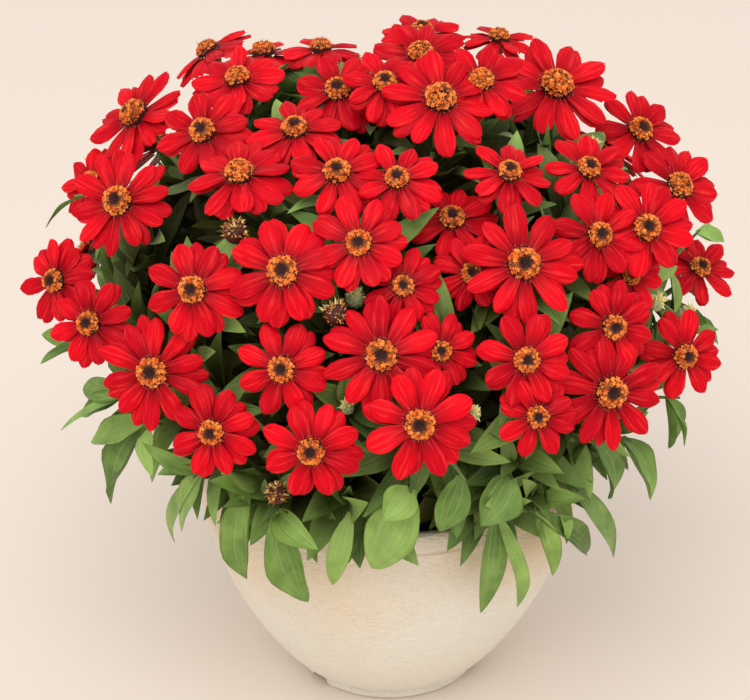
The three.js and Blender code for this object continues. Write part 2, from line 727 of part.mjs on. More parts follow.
// Nodes of the leafy shoots: seen ones by their pixels, the far ones turned half round
function shootHeads() {
  const seen = SHOOTS.map((shoot) => ({ ...shoot, behind: false }));
  const far = SHOOTS.filter((_, i) => i % FAR_SHOOTS === FAR_SHOOTS - 1)
    .map((shoot) => ({ ...shoot, behind: true }));
  return [...seen, ...far].map(({ node, tips, behind }, i) => {
    const there = (pixel, grow) => {
      const { point } = sighted(pixel, grow);
      return behind ? turnedHalf(point) : point;
    };
    const centre = there(node, SHOOT.nodeGrow);
    const out = new THREE.Vector3(centre.x, centre.y, 0).normalize();
    const low = centre.z < HANGING_BELOW;
    const leaves = tips.map(([across, down, width]) => {
      const tip = there([across, down], SHOOT.tipGrow);
      return { tip, up: out.clone().addScaledVector(UP, SHOOT.leafUp).normalize(), width };
    });
    const facing = out.clone().addScaledVector(UP, low ? SHOOT.hang : SHOOT.stand).normalize();
    return { name: `shoot ${i}`, centre, facing, radius: 1, node: true, low, leaves };
  });
}

function bowlRadius(height) {
  const share = (height - BOWL_FOOT.height) / (BOWL_TOP.height - BOWL_FOOT.height);
  const fall = 1 - Math.min(1, Math.max(0, share));
  const swell = (1 - fall ** BOWL_CURVE.fall) ** BOWL_CURVE.swell;
  return BOWL_FOOT.radius + (BOWL_TOP.radius - BOWL_FOOT.radius) * swell;
}

function lathe(outline) {
  const points = outline.map(([out, height]) => new THREE.Vector2(out, height));
  const geometry = new THREE.LatheGeometry(points, POT_SIDES);
  geometry.rotateX(Math.PI / 2);
  return solidOfGeometry(geometry);
}

// The pot: one revolved outline, closed on itself round the drainage hole, less the notches
function potSolid() {
  const outline = [
    [DRAIN_RADIUS, RECESS_HEIGHT],
    [FOOT_RADIUS - FOOT_WIDTH - 1, RECESS_HEIGHT],
    [FOOT_RADIUS - FOOT_WIDTH, 0],
    [FOOT_RADIUS, 0],
    [FOOT_RADIUS, FOOT_HEIGHT],
    [GROOVE_RADIUS, GROOVE_HEIGHT],
  ];
  for (let i = 0; i <= BOWL_STEPS.count; i += 1) {
    const share = (i / BOWL_STEPS.count) ** BOWL_STEPS.crowding;
    const height = BOWL_FOOT.height + share * (BOWL_TOP.height - BOWL_FOOT.height);
    outline.push([bowlRadius(height), height]);
  }
  outline.push([LIP.radius, BOWL_TOP.height + LIP.step], [LIP.radius, POT_HEIGHT - LIP.round]);
  outline.push([LIP.radius - LIP.crest, POT_HEIGHT], [LIP.radius - LIP.width, POT_HEIGHT - LIP.fall]);
  outline.push([BOWL_TOP.radius - WALL, SOIL_TOP]);
  for (const height of [...INSIDE_HEIGHTS].reverse()) {
    outline.push([bowlRadius(height) - WALL, height]);
  }
  outline.push([bowlRadius(FLOOR_TOP) - WALL - FLOOR_ROUND, FLOOR_TOP], [DRAIN_RADIUS, FLOOR_TOP]);
  outline.push(outline[0]);
  return NOTCH.bearings.reduce((pot, bearing) => {
    const notch = new THREE.BoxGeometry(NOTCH.width, 3 * FOOT_WIDTH, 2 * NOTCH.height);
    notch.translate(0, -(FOOT_RADIUS - FOOT_WIDTH / 2), 0);
    notch.rotateZ(THREE.MathUtils.degToRad(bearing));
    return pot.subtract(solidOfGeometry(notch));
  }, lathe(outline));
}

// The soil: fills the pot's inside, with one plain hole for each main stem
function soilSolid() {
  const room = WALL + SOIL_GAP;
  const foot = bowlRadius(FLOOR_TOP) - room - FLOOR_ROUND - 1;
  const outline = [[0, FLOOR_TOP + SOIL_GAP], [foot, FLOOR_TOP + SOIL_GAP]];
  for (const height of INSIDE_HEIGHTS) {
    outline.push([bowlRadius(height) - room, height]);
  }
  outline.push([BOWL_TOP.radius - room, SOIL_TOP]);
  outline.push([SOIL_SHOULDER * BOWL_TOP.radius, SOIL_TOP + SOIL_CROWN], [0, SOIL_TOP + SOIL_CROWN]);
  return CROWNS.reduce((soil, crown) => {
    const low = crownPoint(crown, HOLE_BOTTOM);
    const high = low.clone().setZ(POT_HEIGHT);
    const radius = MAIN_STEM.radius + MAIN_STEM.gap;
    return soil.subtract(tube([low, high], [radius, radius], MAIN_STEM.sides));
  }, lathe(outline));
}

function mainStemSolid(crown) {
  const heights = [MAIN_STEM.bottom, MAIN_STEM.bend, MAIN_STEM.top];
  const points = heights.map((height) => crownPoint(crown, height));
  points[1].x = points[0].x;
  points[1].y = points[0].y;
  const { radius, narrowing, sides } = MAIN_STEM;
  return tube(points, [radius, radius, narrowing * radius], sides);
}

// A spent head: the brown dome of dried florets that stands on its cup
function spentSolid(head) {
  const size = head.spent;
  const outline = [
    new THREE.Vector2(0, -NECK.depth),
    new THREE.Vector2(NECK.radius, -NECK.depth),
    ...SPENT_SHAPE.map(([out, height]) => new THREE.Vector2(out * size, height * size)),
  ];
  const geometry = new THREE.LatheGeometry(outline, SPENT_SIDES);
  geometry.rotateX(Math.PI / 2);
  geometry.applyQuaternion(new THREE.Quaternion().setFromUnitVectors(UP, head.facing));
  geometry.translate(head.centre.x, head.centre.y, head.centre.z);
  return solidOfGeometry(geometry);
}

const group = new THREE.Group();

function addNode(name, solid, material) {
  const mesh = new THREE.Mesh(geometryOf(solid), material);
  mesh.name = name;
  group.add(mesh);
}

addNode('pot', potSolid(), potCream);
addNode('potting_soil', soilSolid(), soilBrown);

const blooms = placeBlooms();
const bloomNodes = [];
for (const bloom of blooms) {
  if (bloom.mate) bloomNodes[bloomNodes.length - 1].push(bloom);
  else bloomNodes.push([bloom]);
}
const bloomSolids = bloomNodes.map((members) => joined(members.map(bloomSolid)));
bloomSolids.forEach((solid, i) => {
  const name = `bloom${bloomNodes[i].length > 1 ? '_pair' : ''}_${String(i + 1).padStart(2, '0')}`;
  addNode(name, solid, petalRed);
});

function smallHead(at, grow, rest) {
  const { point, sight } = sighted(at, grow);
  const facing = facingLight(point).addScaledVector(UP, HEAD_UP).normalize();
  const head = { centre: point, facing, ...rest };
  settle(head, sight, blooms);
  return head;
}

const buds = BUDS.map(({ at, size }, i) => (
  smallHead(at, BUD_GROW, { name: `bud ${i}`, bud: size, radius: size })));
const spentHeads = SPENT.map(({ at, size }, i) => (
  smallHead(at, SPENT_GROW, { name: `spent ${i}`, spent: size, radius: size })));
spentHeads.forEach((head, i) => addNode(`spent_head_${i + 1}`, spentSolid(head), spentBrown));

const stems = [];
for (const head of [...blooms, ...spentHeads, ...buds, ...shootHeads()]) {
  stems.push(growStem(head, [...blooms, ...spentHeads], stems));
}

const obstacles = joined([potSolid(), ...bloomSolids]);
const plants = CROWNS.map((crown) => {
  const own = stems.filter((stem) => stem.crown === crown);
  return { crown, own, solid: joined([mainStemSolid(crown), ...own.map(stemSolid)]) };
});
for (const plant of plants) {
  const others = [obstacles, ...plants.filter((other) => other !== plant).map(({ solid }) => solid)];
  const grow = (leaves) => {
    const solids = leaves.map(leafSolid);
    const outer = leaves.map(({ base, ...leaf }) => (
      leafSolid({ ...leaf, base: base.clone().lerp(leaf.tip, LEAF_HEEL) })));
    const clear = leaves.every((leaf) => leafClear(leaf, blooms))
      && outer.every((solid) => plant.solid.intersect(solid).isEmpty())
      && solids.every((solid) => others.every((other) => other.intersect(solid).isEmpty()));
    if (clear) plant.solid = joined([plant.solid, ...solids]);
    return clear;
  };
  for (const { head, points } of plant.own.filter((stem) => stem.head.node)) {
    const base = placeAlong(points, SHOOT.leafPlace);
    head.leaves.forEach((leaf) => grow([{ ...leaf, base }]));
  }
  for (const stem of plant.own.filter(({ leader, head }) => leader && !head.node)) {
    leafPairs(stem, PAIR_SEED + stems.indexOf(stem)).some(grow);
  }
  addNode(plant.crown.name, plant.solid, leafGreen);
}

export default group;
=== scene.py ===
import math

import bpy
import numpy as np
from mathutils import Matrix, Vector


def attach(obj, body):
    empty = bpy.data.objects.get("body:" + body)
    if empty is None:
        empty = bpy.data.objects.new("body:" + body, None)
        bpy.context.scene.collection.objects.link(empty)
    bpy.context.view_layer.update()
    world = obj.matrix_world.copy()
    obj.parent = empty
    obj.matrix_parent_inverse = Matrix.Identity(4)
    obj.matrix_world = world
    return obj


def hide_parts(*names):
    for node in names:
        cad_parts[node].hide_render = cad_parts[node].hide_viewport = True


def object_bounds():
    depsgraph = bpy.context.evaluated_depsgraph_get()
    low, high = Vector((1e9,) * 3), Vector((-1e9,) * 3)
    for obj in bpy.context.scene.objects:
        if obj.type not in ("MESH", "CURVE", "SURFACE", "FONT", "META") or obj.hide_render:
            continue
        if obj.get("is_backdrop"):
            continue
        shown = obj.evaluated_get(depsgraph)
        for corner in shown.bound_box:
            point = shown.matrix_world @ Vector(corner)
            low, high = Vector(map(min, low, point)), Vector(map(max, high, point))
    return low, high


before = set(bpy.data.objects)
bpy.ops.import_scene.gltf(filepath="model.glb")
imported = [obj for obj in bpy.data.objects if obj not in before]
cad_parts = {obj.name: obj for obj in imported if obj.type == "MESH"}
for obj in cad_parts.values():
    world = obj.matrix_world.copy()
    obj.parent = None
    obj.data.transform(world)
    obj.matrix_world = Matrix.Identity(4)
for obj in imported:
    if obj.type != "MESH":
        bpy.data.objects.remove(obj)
cad_low, cad_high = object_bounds()

# The pot: a cream bowl of matt stoneware, turned on a wheel and brushed level all round. It has
# a plain lip band, and a foot ring with three notches that let water run out from under it.
MM = 0.001
FOOT_RADIUS, FOOT_HEIGHT, GROOVE_RADIUS, RECESS_HEIGHT, DRAIN_RADIUS = 59, 6, 57, 4, 9
BOWL_FOOT, BOWL_TOP, LIP_RADIUS, POT_HEIGHT, WALL = (63.5, 9), (123, 150), 126.5, 165, 6
NOTCH_WIDTH, NOTCH_HEIGHT, NOTCH_BEARINGS = 15, 4.5, (-50, 67, 190)
SOIL_TOP = 150
WHITE, BLACK = (1, 1, 1), (0, 0, 0)


def bowl_radius(height):
    """The bowl's outer radius: it swells fast above the foot and stands nearly upright below
    the lip, a power curve of the share of the height that is still to go."""
    fall = 1 - np.clip((height - BOWL_FOOT[1]) / (BOWL_TOP[1] - BOWL_FOOT[1]), 0, 1)
    return BOWL_FOOT[0] + (BOWL_TOP[0] - BOWL_FOOT[0]) * (1 - fall ** 1.8) ** 0.87


def make_piece(name, points, faces, material, slot, uv=None, **values):
    """A closed mesh piece: points in millimetres, faces as rows of point numbers, a flat place
    for each point where the material needs one, and named values for each point."""
    mesh = bpy.data.meshes.new(name)
    mesh.from_pydata((points * MM).tolist(), [], faces)
    for label, numbers in values.items():
        mesh.attributes.new(label, "FLOAT", "POINT").data.foreach_set("value", numbers.astype(np.float32))
    if uv is not None:
        corners = np.zeros(len(mesh.loops), np.int32)
        mesh.loops.foreach_get("vertex_index", corners)
        mesh.uv_layers.new(name="UVMap").data.foreach_set("uv", uv[corners].astype(np.float32).ravel())
    mesh.shade_smooth()
    mesh.set_sharp_from_angle(angle=math.radians(55))
    mesh.materials.append(material)
    made = bpy.data.objects.new(name, mesh)
    bpy.context.scene.collection.objects.link(made)
    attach(made, "root")
    return made


class ShaderTree:
    """The nodes of a finish or an effect, each fed with constants or the outputs of others."""

    def __init__(self, tree):
        self.tree = tree

    def feed(self, node, inputs):
        """Feeds a node's inputs, by name or number."""
        for name, value in inputs.items():
            if isinstance(value, bpy.types.NodeSocket):
                self.tree.links.new(value, node.inputs[name])
            else:
                node.inputs[name].default_value = value

    def add(self, kind, inputs, output, **settings):
        """The wanted output of a new node of a kind."""
        node = self.tree.nodes.new("ShaderNode" + kind)
        for name, value in settings.items():
            setattr(node, name, value)
        self.feed(node, inputs)
        return node.outputs[output]

    def place(self):
        """The place in the object, in metres."""
        return self.add("TexCoord", {}, "Object")

    def flat(self):
        """The flat place on a blade, along and across, from nought to one."""
        return self.add("UVMap", {}, "UV", uv_map="UVMap")

    def part(self, vector, axis):
        """One axis of a vector."""
        return self.add("SeparateXYZ", {"Vector": vector}, axis)

    def value(self, name):
        """A named value of the mesh's points."""
        return self.add("Attribute", {}, "Fac", attribute_name=name)

    def noise(self, place, scale, detail=2, distortion=0):
        """Soft noise over a place, from nought to one."""
        inputs = {"Vector": place, "Scale": scale, "Detail": detail, "Distortion": distortion}
        return self.add("TexNoise", inputs, "Fac")

    def maths(self, operation, *values, clamp=False):
        """A sum or the like of one to three values."""
        return self.add("Math", dict(enumerate(values)), "Value", operation=operation, use_clamp=clamp)

    def mapped(self, value, low, high, top=1):
        """Nought to top while a value goes from low to high."""
        inputs = {"Value": value, "From Min": low, "From Max": high, "To Max": top}
        return self.add("MapRange", inputs, "Result")

    def mix(self, factor, one, other, blend="MIX"):
        """One colour with another laid over it, as much as the factor says."""
        inputs = {"Factor": factor, "A": one, "B": other}
        return self.add("Mix", inputs, "Result", data_type="RGBA", blend_type=blend)

    def ramp(self, factor, *stops):
        """Colours that change over a factor, from stops of place and colour."""
        output = self.add("ValToRGB", {"Fac": factor}, "Color")
        elements = output.node.color_ramp.elements
        elements[0].position = stops[0][0]
        elements[1].position = stops[-1][0]
        for stop in stops[1:-1]:
            elements.new(stop[0])
        for element, stop in zip(elements, stops):
            element.color = (*stop[1], 1)
        return output

    def use(self, effect, inputs, output):
        """An output of an effect that several finishes share."""
        return self.add("Group", inputs, output, node_tree=effect.tree)

    def paint(self, colour):
        """Gives the surface its colour."""
        self.feed(self.surface, {"Base Color": colour})

    def relief(self, height, distance, strength=1, invert=False):
        """Gives the surface a relief of a depth in metres."""
        inputs = {"Height": height, "Distance": distance, "Strength": strength}
        self.feed(self.surface, {"Normal": self.add("Bump", inputs, "Normal", invert=invert)})


def new_finish(name, roughness, specular=0.3):
    """A surface finish: its material, and its nodes with the surface shader among them."""
    material = bpy.data.materials.new(name)
    material.use_nodes = True
    shader = ShaderTree(material.node_tree)
    shader.surface = material.node_tree.nodes["Principled BSDF"]
    shader.feed(shader.surface, {"Roughness": roughness, "Specular IOR Level": specular})
    return material, shader


def turned(outline, columns):
    """A closed ring of revolution about the upright axis: the outline, a closed loop of radius
    and height, is set at each of the columns round the full turn."""
    turn = np.linspace(0, 2 * np.pi, columns, endpoint=False)[:, None]
    points = np.stack([outline[:, 0] * np.cos(turn), outline[:, 0] * np.sin(turn),
                       outline[:, 1] + 0 * turn], -1)
    rows = len(outline)
    here = np.arange(columns)[:, None] * rows + np.arange(rows)
    after = np.roll(here, -1, 0)
    faces = np.stack([here, after, np.roll(after, -1, 1), np.roll(here, -1, 1)], -1)
    return points, faces.reshape(-1, 4).tolist()


outer_heights = BOWL_FOOT[1] + np.linspace(0, 1, 28) ** 1.4 * (BOWL_TOP[1] - BOWL_FOOT[1])
inner_heights = np.array([SOIL_TOP, 130, 110, 95, 80, 65, 50, 38, 26])
inner_radii = np.where(inner_heights < BOWL_TOP[1], bowl_radius(inner_heights), BOWL_TOP[0]) - WALL
pot_outline = np.array([
    (DRAIN_RADIUS, RECESS_HEIGHT), (30, RECESS_HEIGHT), (50, RECESS_HEIGHT), (50.6, 2.4), (51.2, 0.5),
    (52.5, 0), (57.5, 0), (58.8, 0.6), (FOOT_RADIUS, 2), (FOOT_RADIUS, 4), (58.6, FOOT_HEIGHT - 0.4),
    (57.6, FOOT_HEIGHT + 0.6), (GROOVE_RADIUS, 7.8), (58.6, 8.4), (61.5, 8.7),
    *zip(bowl_radius(outer_heights), outer_heights),
    (LIP_RADIUS - 2.6, BOWL_TOP[1] + 0.6), (LIP_RADIUS - 0.6, BOWL_TOP[1] + 1.4),
    (LIP_RADIUS, BOWL_TOP[1] + 3), (LIP_RADIUS, POT_HEIGHT - 8), (LIP_RADIUS, POT_HEIGHT - 4),
    (LIP_RADIUS - 0.5, POT_HEIGHT - 1.8), (LIP_RADIUS - 1.6, POT_HEIGHT - 0.4),
    (LIP_RADIUS - 3.5, POT_HEIGHT), (LIP_RADIUS - 5.5, POT_HEIGHT - 0.3),
    (LIP_RADIUS - 7, POT_HEIGHT - 1.6), (LIP_RADIUS - 8.2, POT_HEIGHT - 6),
    *zip(inner_radii, inner_heights), (bowl_radius(14.0) - WALL - 6, 14), (30, 14), (DRAIN_RADIUS, 14),
])
pot_points, pot_faces = turned(pot_outline, 288)
for bearing in NOTCH_BEARINGS:
    aside = pot_points @ np.array([math.cos(math.radians(bearing)), math.sin(math.radians(bearing)), 0])
    ahead = pot_points @ np.array([math.sin(math.radians(bearing)), -math.cos(math.radians(bearing)), 0])
    arch = NOTCH_HEIGHT * np.clip(1.25 * (1 - (2 * aside / NOTCH_WIDTH) ** 6), 0, 1)
    cut = (ahead > 0) & (np.abs(aside) < NOTCH_WIDTH / 2) & (pot_points[..., 2] < arch) \
        & (np.hypot(aside, ahead) > 49)
    pot_points[..., 2] = np.where(cut, np.minimum(arch, FOOT_HEIGHT - 1), pot_points[..., 2])

cream, shader = new_finish("brushed_cream_stoneware", 0.62)
place = shader.place()
stretched = shader.add("Mapping", {"Vector": place, "Scale": (230, 230, 760)}, "Vector")
brushing = shader.noise(stretched, 1, detail=3, distortion=0.6)
height = shader.part(place, "Z")
# The glaze is darker and more peach towards the top and paler towards the foot.
paler_towards_foot = shader.mapped(height, 0.13, 0.02, 0.46)
clouded = shader.maths("ADD", shader.noise(place, 11), paler_towards_foot)
pot_tone = shader.maths("MULTIPLY_ADD", brushing, 0.42, clouded)
shades = shader.ramp(pot_tone, (0.52, (0.85, 0.68, 0.48)), (1, (0.86, 0.82, 0.72)))
specks = shader.ramp(shader.noise(place, 700), (0.34, (0.62, 0.52, 0.38)), (0.42, WHITE))
glaze = shader.mix(0.2, shades, specks, "MULTIPLY")
# Painted shadow: a soft darker band just under the lip, where the lip shades the bowl.
lip_shadow_band = shader.mapped(height, 0.1475, 0.1535)
painted_lip_shadow = shader.ramp(lip_shadow_band, (0, WHITE), (0.5, (0.66, 0.55, 0.44)), (1, WHITE))
shader.paint(shader.mix(1, glaze, painted_lip_shadow, "MULTIPLY"))
shader.relief(brushing, distance=0.0016, strength=0.9)

pot = make_piece("stoneware_pot", pot_points.reshape(-1, 3), pot_faces, cream, "pot_ceramic")
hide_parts("pot")

# The potting soil: dark crumbly peat that fills the bowl to a finger's width under the lip. The
# three main stems stand in it.
rng = np.random.default_rng(11)


def for_each(faces, count, points):
    """The faces of one shape repeated for a count of copies, each of so many points."""
    step = np.arange(count)[:, None, None] * points
    return (faces[None] + step).reshape(-1, faces.shape[-1]).tolist()


def capped_rings(rings, first, last):
    """Closed skins over rows of rings, each from its first end point to its last: quads between
    the rings, and a fan of triangles at each end. The points of one skin stay together."""
    count, rows, columns, _ = rings.shape
    points = np.concatenate([rings.reshape(count, -1, 3), first[:, None], last[:, None]], 1)
    column = np.arange(columns)
    beside = (column + 1) % columns
    row = np.arange(rows - 1)[:, None] * columns
    quads = np.stack([row + column, row + beside, row + beside + columns, row + column + columns], -1)
    end = (rows - 1) * columns
    fans = np.concatenate([
        np.stack([np.full(columns, rows * columns), beside, column], -1),
        np.stack([np.full(columns, rows * columns + 1), end + column, end + beside], -1)])
    size = points.shape[1]
    return points.reshape(-1, 3), for_each(quads.reshape(-1, 4), count, size) + for_each(fans, count, size)


SOIL_BOTTOM, SOIL_CROWN = 14.4, 4
SOIL_INSET = WALL + 0.4
soil_outline = np.array([
    (40, SOIL_BOTTOM), (bowl_radius(14.0) - SOIL_INSET - 7, SOIL_BOTTOM),
    (bowl_radius(38.0) - SOIL_INSET, 38), (bowl_radius(80.0) - SOIL_INSET, 80),
    (BOWL_TOP[0] - SOIL_INSET, SOIL_TOP),
    *((out, SOIL_TOP + SOIL_CROWN * (1 - (out / 120) ** 2)) for out in range(112, 4, -4))])
turn = np.linspace(0, 2 * np.pi, 120, endpoint=False)
soil_rings = np.stack([soil_outline[:, :1] * np.cos(turn), soil_outline[:, :1] * np.sin(turn),
                       soil_outline[:, 1:] + 0 * turn], -1)[None]
soil_rings[:, 5:, :, 2] += rng.uniform(-0.6, 2.4, soil_rings[:, 5:, :, 2].shape)
soil_middle = np.array([[0, 0, SOIL_TOP + 5]])
soil_points, soil_faces = capped_rings(soil_rings, np.array([[0, 0, SOIL_BOTTOM]]), soil_middle)


def new_effect(name, inputs, outputs):
    """An effect that several finishes share: an empty node group with named inputs and outputs."""
    tree = bpy.data.node_groups.new(name, "ShaderNodeTree")
    for label, kind in inputs.items():
        tree.interface.new_socket(label, in_out="INPUT", socket_type="NodeSocket" + kind)
    for label, kind in outputs.items():
        tree.interface.new_socket(label, in_out="OUTPUT", socket_type="NodeSocket" + kind)
    effect = ShaderTree(tree)
    effect.given = tree.nodes.new("NodeGroupInput").outputs
    effect.result = tree.nodes.new("NodeGroupOutput")
    return effect


mottling = new_effect(
    "mottling", {"Scale": "Float", "Detail": "Float", "Low": "Float", "High": "Float",
                 "Dark": "Color", "Light": "Color"}, {"Noise": "Float", "Colour": "Color"})
given = mottling.given
spots = mottling.noise(mottling.place(), given["Scale"], given["Detail"])
lightness = mottling.mapped(spots, given["Low"], given["High"])
colour = mottling.mix(lightness, given["Dark"], given["Light"])
mottling.feed(mottling.result, {"Noise": spots, "Colour": colour})

peat, shader = new_finish("dark_peat", 0.95)
crumbs = {"Scale": 220, "Detail": 5, "Low": 0.35, "High": 0.7,
          "Dark": (0.012, 0.008, 0.005, 1), "Light": (0.07, 0.045, 0.028, 1)}
shades = shader.use(mottling, crumbs, "Colour")
shader.paint(shades)
shader.relief(shades.node.outputs["Noise"], distance=0.002)

soil = make_piece("potting_soil_crumbs", soil_points, soil_faces, peat, "soil")
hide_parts("potting_soil")

# The stems: three main stems of young wood in the soil, leaders that fan out from them, a branch
# to each further head and leafy shoots that hang over the lip. All are round, ribbed and pale green.
# They run to the heads, so this section finds where the heads stand on the mound of the plants.
MOUND_X, MOUND_MIDDLE, MOUND_RADIUS, MOUND_RISE, SKIRT_SLOPE = -4, 258, 200, 158, 0.43
PICTURE_MIDDLE = (375, 350)
FOCAL_PIXELS = 2650
PITCH = np.radians(28)
EYE = np.array([-9, -1467, 1004])
SIGHT_REACH = np.arange(1150, 1950)[:, None]
CROWN_RADIUS, CROWN_BEARINGS = 44, {"left": -120, "right": 120, "back": 0}
UPWARD = np.array([0.0, 0.0, 1.0])
RIGHT = np.array([1.0, 0.0, 0.0])
FORWARD = np.array([0, np.cos(PITCH), -np.sin(PITCH)])
DOWN = np.array([0, -np.sin(PITCH), -np.cos(PITCH)])

# Each bloom's disc by its pixel in a picture 750 by 700, and how wide its rays span in millimetres.
# Some have a facing of their own, or stand deeper behind or before the mound's edge. A mate
# touches the bloom before it. Each is as near the mound as those before it leave room for.
BLOOMS = [
    ((419, 424), 58), ((381, 355), 60), ((610, 392), 61), ((613, 327), 48, {"mate": True}),
    ((311, 451), 52), ((526, 360), 49), ((537, 417), 43, {"mate": True}), ((153, 372), 59),
    ((212, 432), 48), ((282, 369), 51), ((684, 356), 49), ((283, 271), 58),
    ((359, 243), 50, {"mate": True}), ((523, 264), 62), ((441, 351), 40), ((90, 323), 49),
    ((56, 281), 48, {"facing": (-0.5, -0.75, 0.45), "deeper": -48}), ((471, 273), 40), ((403, 286), 42),
    ((193, 290), 53), ((599, 235), 49), ((646, 228), 53, {"mate": True}),
    ((699, 269), 46, {"facing": (0.3, -0.5, 0.8), "deeper": 62}),
    ((452, 220), 50, {"facing": (0.06, -0.5, 0.86)}), ((509, 174), 47, {"facing": (0.12, -0.4, 0.9)}),
    ((397, 180), 47, {"facing": (-0.02, -0.57, 0.82)}), ((337, 173), 51, {"mate": True}),
    ((119, 202), 60), ((630, 275), 40), ((588, 170), 48, {"facing": (0.2, -0.5, 0.84)}),
    ((678, 187), 57, {"facing": (0.35, -0.6, 0.72)}), ((639, 131), 53, {"mate": True}),
    ((240, 175), 56, {"facing": (-0.14, -0.36, 0.92)}),
    ((295, 131), 52, {"facing": (-0.08, -0.33, 0.94)}), ((203, 132), 52),
    ((136, 116), 62, {"facing": (-0.55, -0.35, 0.75)}), ((92, 182), 43), ((440, 100), 63),
    ((481, 82), 50, {"mate": True}), ((556, 87), 68, {"facing": (0.15, -0.5, 0.85)}), ((385, 84), 47),
    ((338, 91), 51), ((421, 56), 55), ((238, 80), 51, {"facing": (-0.15, -0.3, 0.9)}),
    ((422, 33), 50, {"facing": (0, -0.1, 1)}), ((321, 50), 46, {"facing": (0, 0.1, 1)}),
    ((264, 54), 52, {"facing": (-0.1, 0.1, 1)}), ((499, 39), 45, {"facing": (0.1, 0, 1)}),
    ((209, 52), 50, {"facing": (-0.55, 0.1, 0.83)}),
]
# The far side: height, bearings of the pairs from the back, and span
BACK_ROWS = [(260, (-66, -22, 22, 64), 56), (310, (-45, 0, 44), 56), (352, (-14, 36), 54)]
# Buds and spent heads, by pixel, and their radii
BUDS = [
    ((88, 155), 4), ((595, 139), 4), ((347, 403), 4), ((474, 409), 4.5), ((660, 298), 4.5),
    ((690, 312), 6), ((355, 293), 6),
]
SPENT = [((236, 234), 7), ((335, 315), 7), ((278, 495), 6)]
# Leafy shoots: the pixel of the node, and of each leaf's tip with its width in millimetres
SHOOTS = [
    ((88, 345), [(41, 335, 14), (41, 364, 12)]),
    ((122, 396), [(82, 389, 15), (60, 432, 7), (82, 417, 12)]),
    ((139, 424), [(90, 442, 18), (111, 503, 22), (152, 476, 13)]),
    ((192, 478), [(181, 532, 20), (175, 544, 12)]), ((243, 497), [(247, 579, 22), (226, 514, 14)]),
    ((272, 520), [(308, 603, 22), (318, 549, 18)]), ((352, 522), [(332, 585, 14)]),
    ((410, 492), [(371, 568, 30), (384, 520, 22)]), ((464, 480), [(440, 531, 20), (444, 553, 11)]),
    ((512, 480), [(481, 527, 28)]), ((500, 520), [(481, 613, 18), (517, 607, 10)]),
    ((540, 520), [(553, 576, 14), (586, 555, 16)]), ((580, 492), [(613, 557, 17)]),
    ((600, 446), [(608, 499, 18)]), ((632, 442), [(650, 500, 24)]),
    ((680, 398), [(668, 449, 22), (684, 448, 8)]), ((700, 333), [(719, 330, 6)]),
    ((74, 196), [(46, 229, 13)]),
]
BUD_GROW, SPENT_GROW, HEAD_UP = -4, -8, 0.6
NODE_GROW, TIP_GROW, LEAF_UP, HANGING_BELOW, HANG_UP, STAND_UP = -12, 2, 0.6, 215, -0.45, 0.4
LEAST_LEAN, FRONT_LEAN, LEAN_DEPTH, SIDE_LEAN = 0.15, 0.7, 150, 0.9
MATE_DROP, PAIR_SPREAD, PAIR_DROP, PAIR_RISE, BACK_UP = 2, 0.7, 2.4, 5, 0.55

# How heads are kept apart: heights down a head's middle and rings of its rays that are probed,
# and the half depth and the room of the layer that another head's rays fill
CORE_HEIGHTS = np.array([9, 5, 0, -6, -12, -20, -30])
PROBE_SHARE, PROBE_TURNS = 0.55, 12
RAY_LAYER, RAY_ROOM, STEM_LAYER, STEM_ROOM = 7, 1, 6.5, 3
NEIGHBOUR_ROOM, SETTLE_STEP = 32, 2

# Stems: the cups on them, their roots on the main stems, how they bend, and how they are kept
# apart, bent aside in rings of steps where they would meet
CUP_LENGTH, CUP_FOOT = 8, 11.5
LEADER_ROOT, LEADER_RISE, SHOOT_ROOT, SHOOT_RISE, TOP_ROOT = 174, 4.2, 158, 2.2, 209
CROWN_SPLAY, SPLAY_HEIGHT = 0.3, 55
TO_HEAD, START_UP = 0.7, 0.5
ROOT_BEND, HEAD_BEND, ROOT_SHIFT = 0.3, 0.33, 0.6
FORK_REACH, FORK_SHARES, STEM_AHEAD = 85, (0.5, 0.36, 0.64, 0.76, 0.27, 0.43, 0.57, 0.7), 0.02
STEM_PROBES, ROOT_PROBES, STEM_SPACE, OWN_SPACES = 40, 10, 6.5, (4.5, 0)
DETOUR_RINGS, DETOUR_TURNS, DETOUR_STEP = 3, 8, 14


def unit(vectors):
    """The vectors brought to length one."""
    return vectors / np.linalg.norm(vectors, axis=-1, keepdims=True)


def across_axis(axis):
    """Two directions across an axis, the first of them level."""
    level = RIGHT if abs(axis[2]) > 0.999 else unit(np.cross(UPWARD, axis))
    return level, np.cross(axis, level)


def around(one, other, turn):
    """The directions at turns from one direction towards another that is square to it."""
    turn = np.asarray(turn)[..., None]
    return np.cos(turn) * one + np.sin(turn) * other


def mound_edge(height):
    """The mound's radius at a height: half an ellipsoid, on a skirt that narrows to the pot."""
    above = height - MOUND_MIDDLE
    return np.where(above > 0, MOUND_RADIUS * np.sqrt(np.clip(1 - (above / MOUND_RISE) ** 2, 0, 1)),
                    MOUND_RADIUS + SKIRT_SLOPE * above)


def sighted(pixel, grow=0):
    """Where the line of sight through a pixel enters the mound, grown by a little, to the
    millimetre, or else passes it nearest. The line's direction comes with it."""
    across, down = (np.array(pixel) - PICTURE_MIDDLE) / FOCAL_PIXELS
    sight = unit(FORWARD + across * RIGHT + down * DOWN)
    points = EYE + SIGHT_REACH * sight
    out = np.hypot(points[:, 0] - MOUND_X, points[:, 1])
    over = points[:, 2] - MOUND_MIDDLE - MOUND_RISE
    gap = np.where(over > 0, np.hypot(out, over), out - mound_edge(points[:, 2]) - grow)
    inside = np.flatnonzero(gap <= 0)
    return points[inside[0] if len(inside) else gap.argmin()], sight


def mound_normal(point):
    """The direction square to the mound at a point."""
    above = max(0, point[2] - MOUND_MIDDLE)
    return unit(np.array([(point[0] - MOUND_X) / MOUND_RADIUS ** 2, point[1] / MOUND_RADIUS ** 2,
                          above / MOUND_RISE ** 2]))


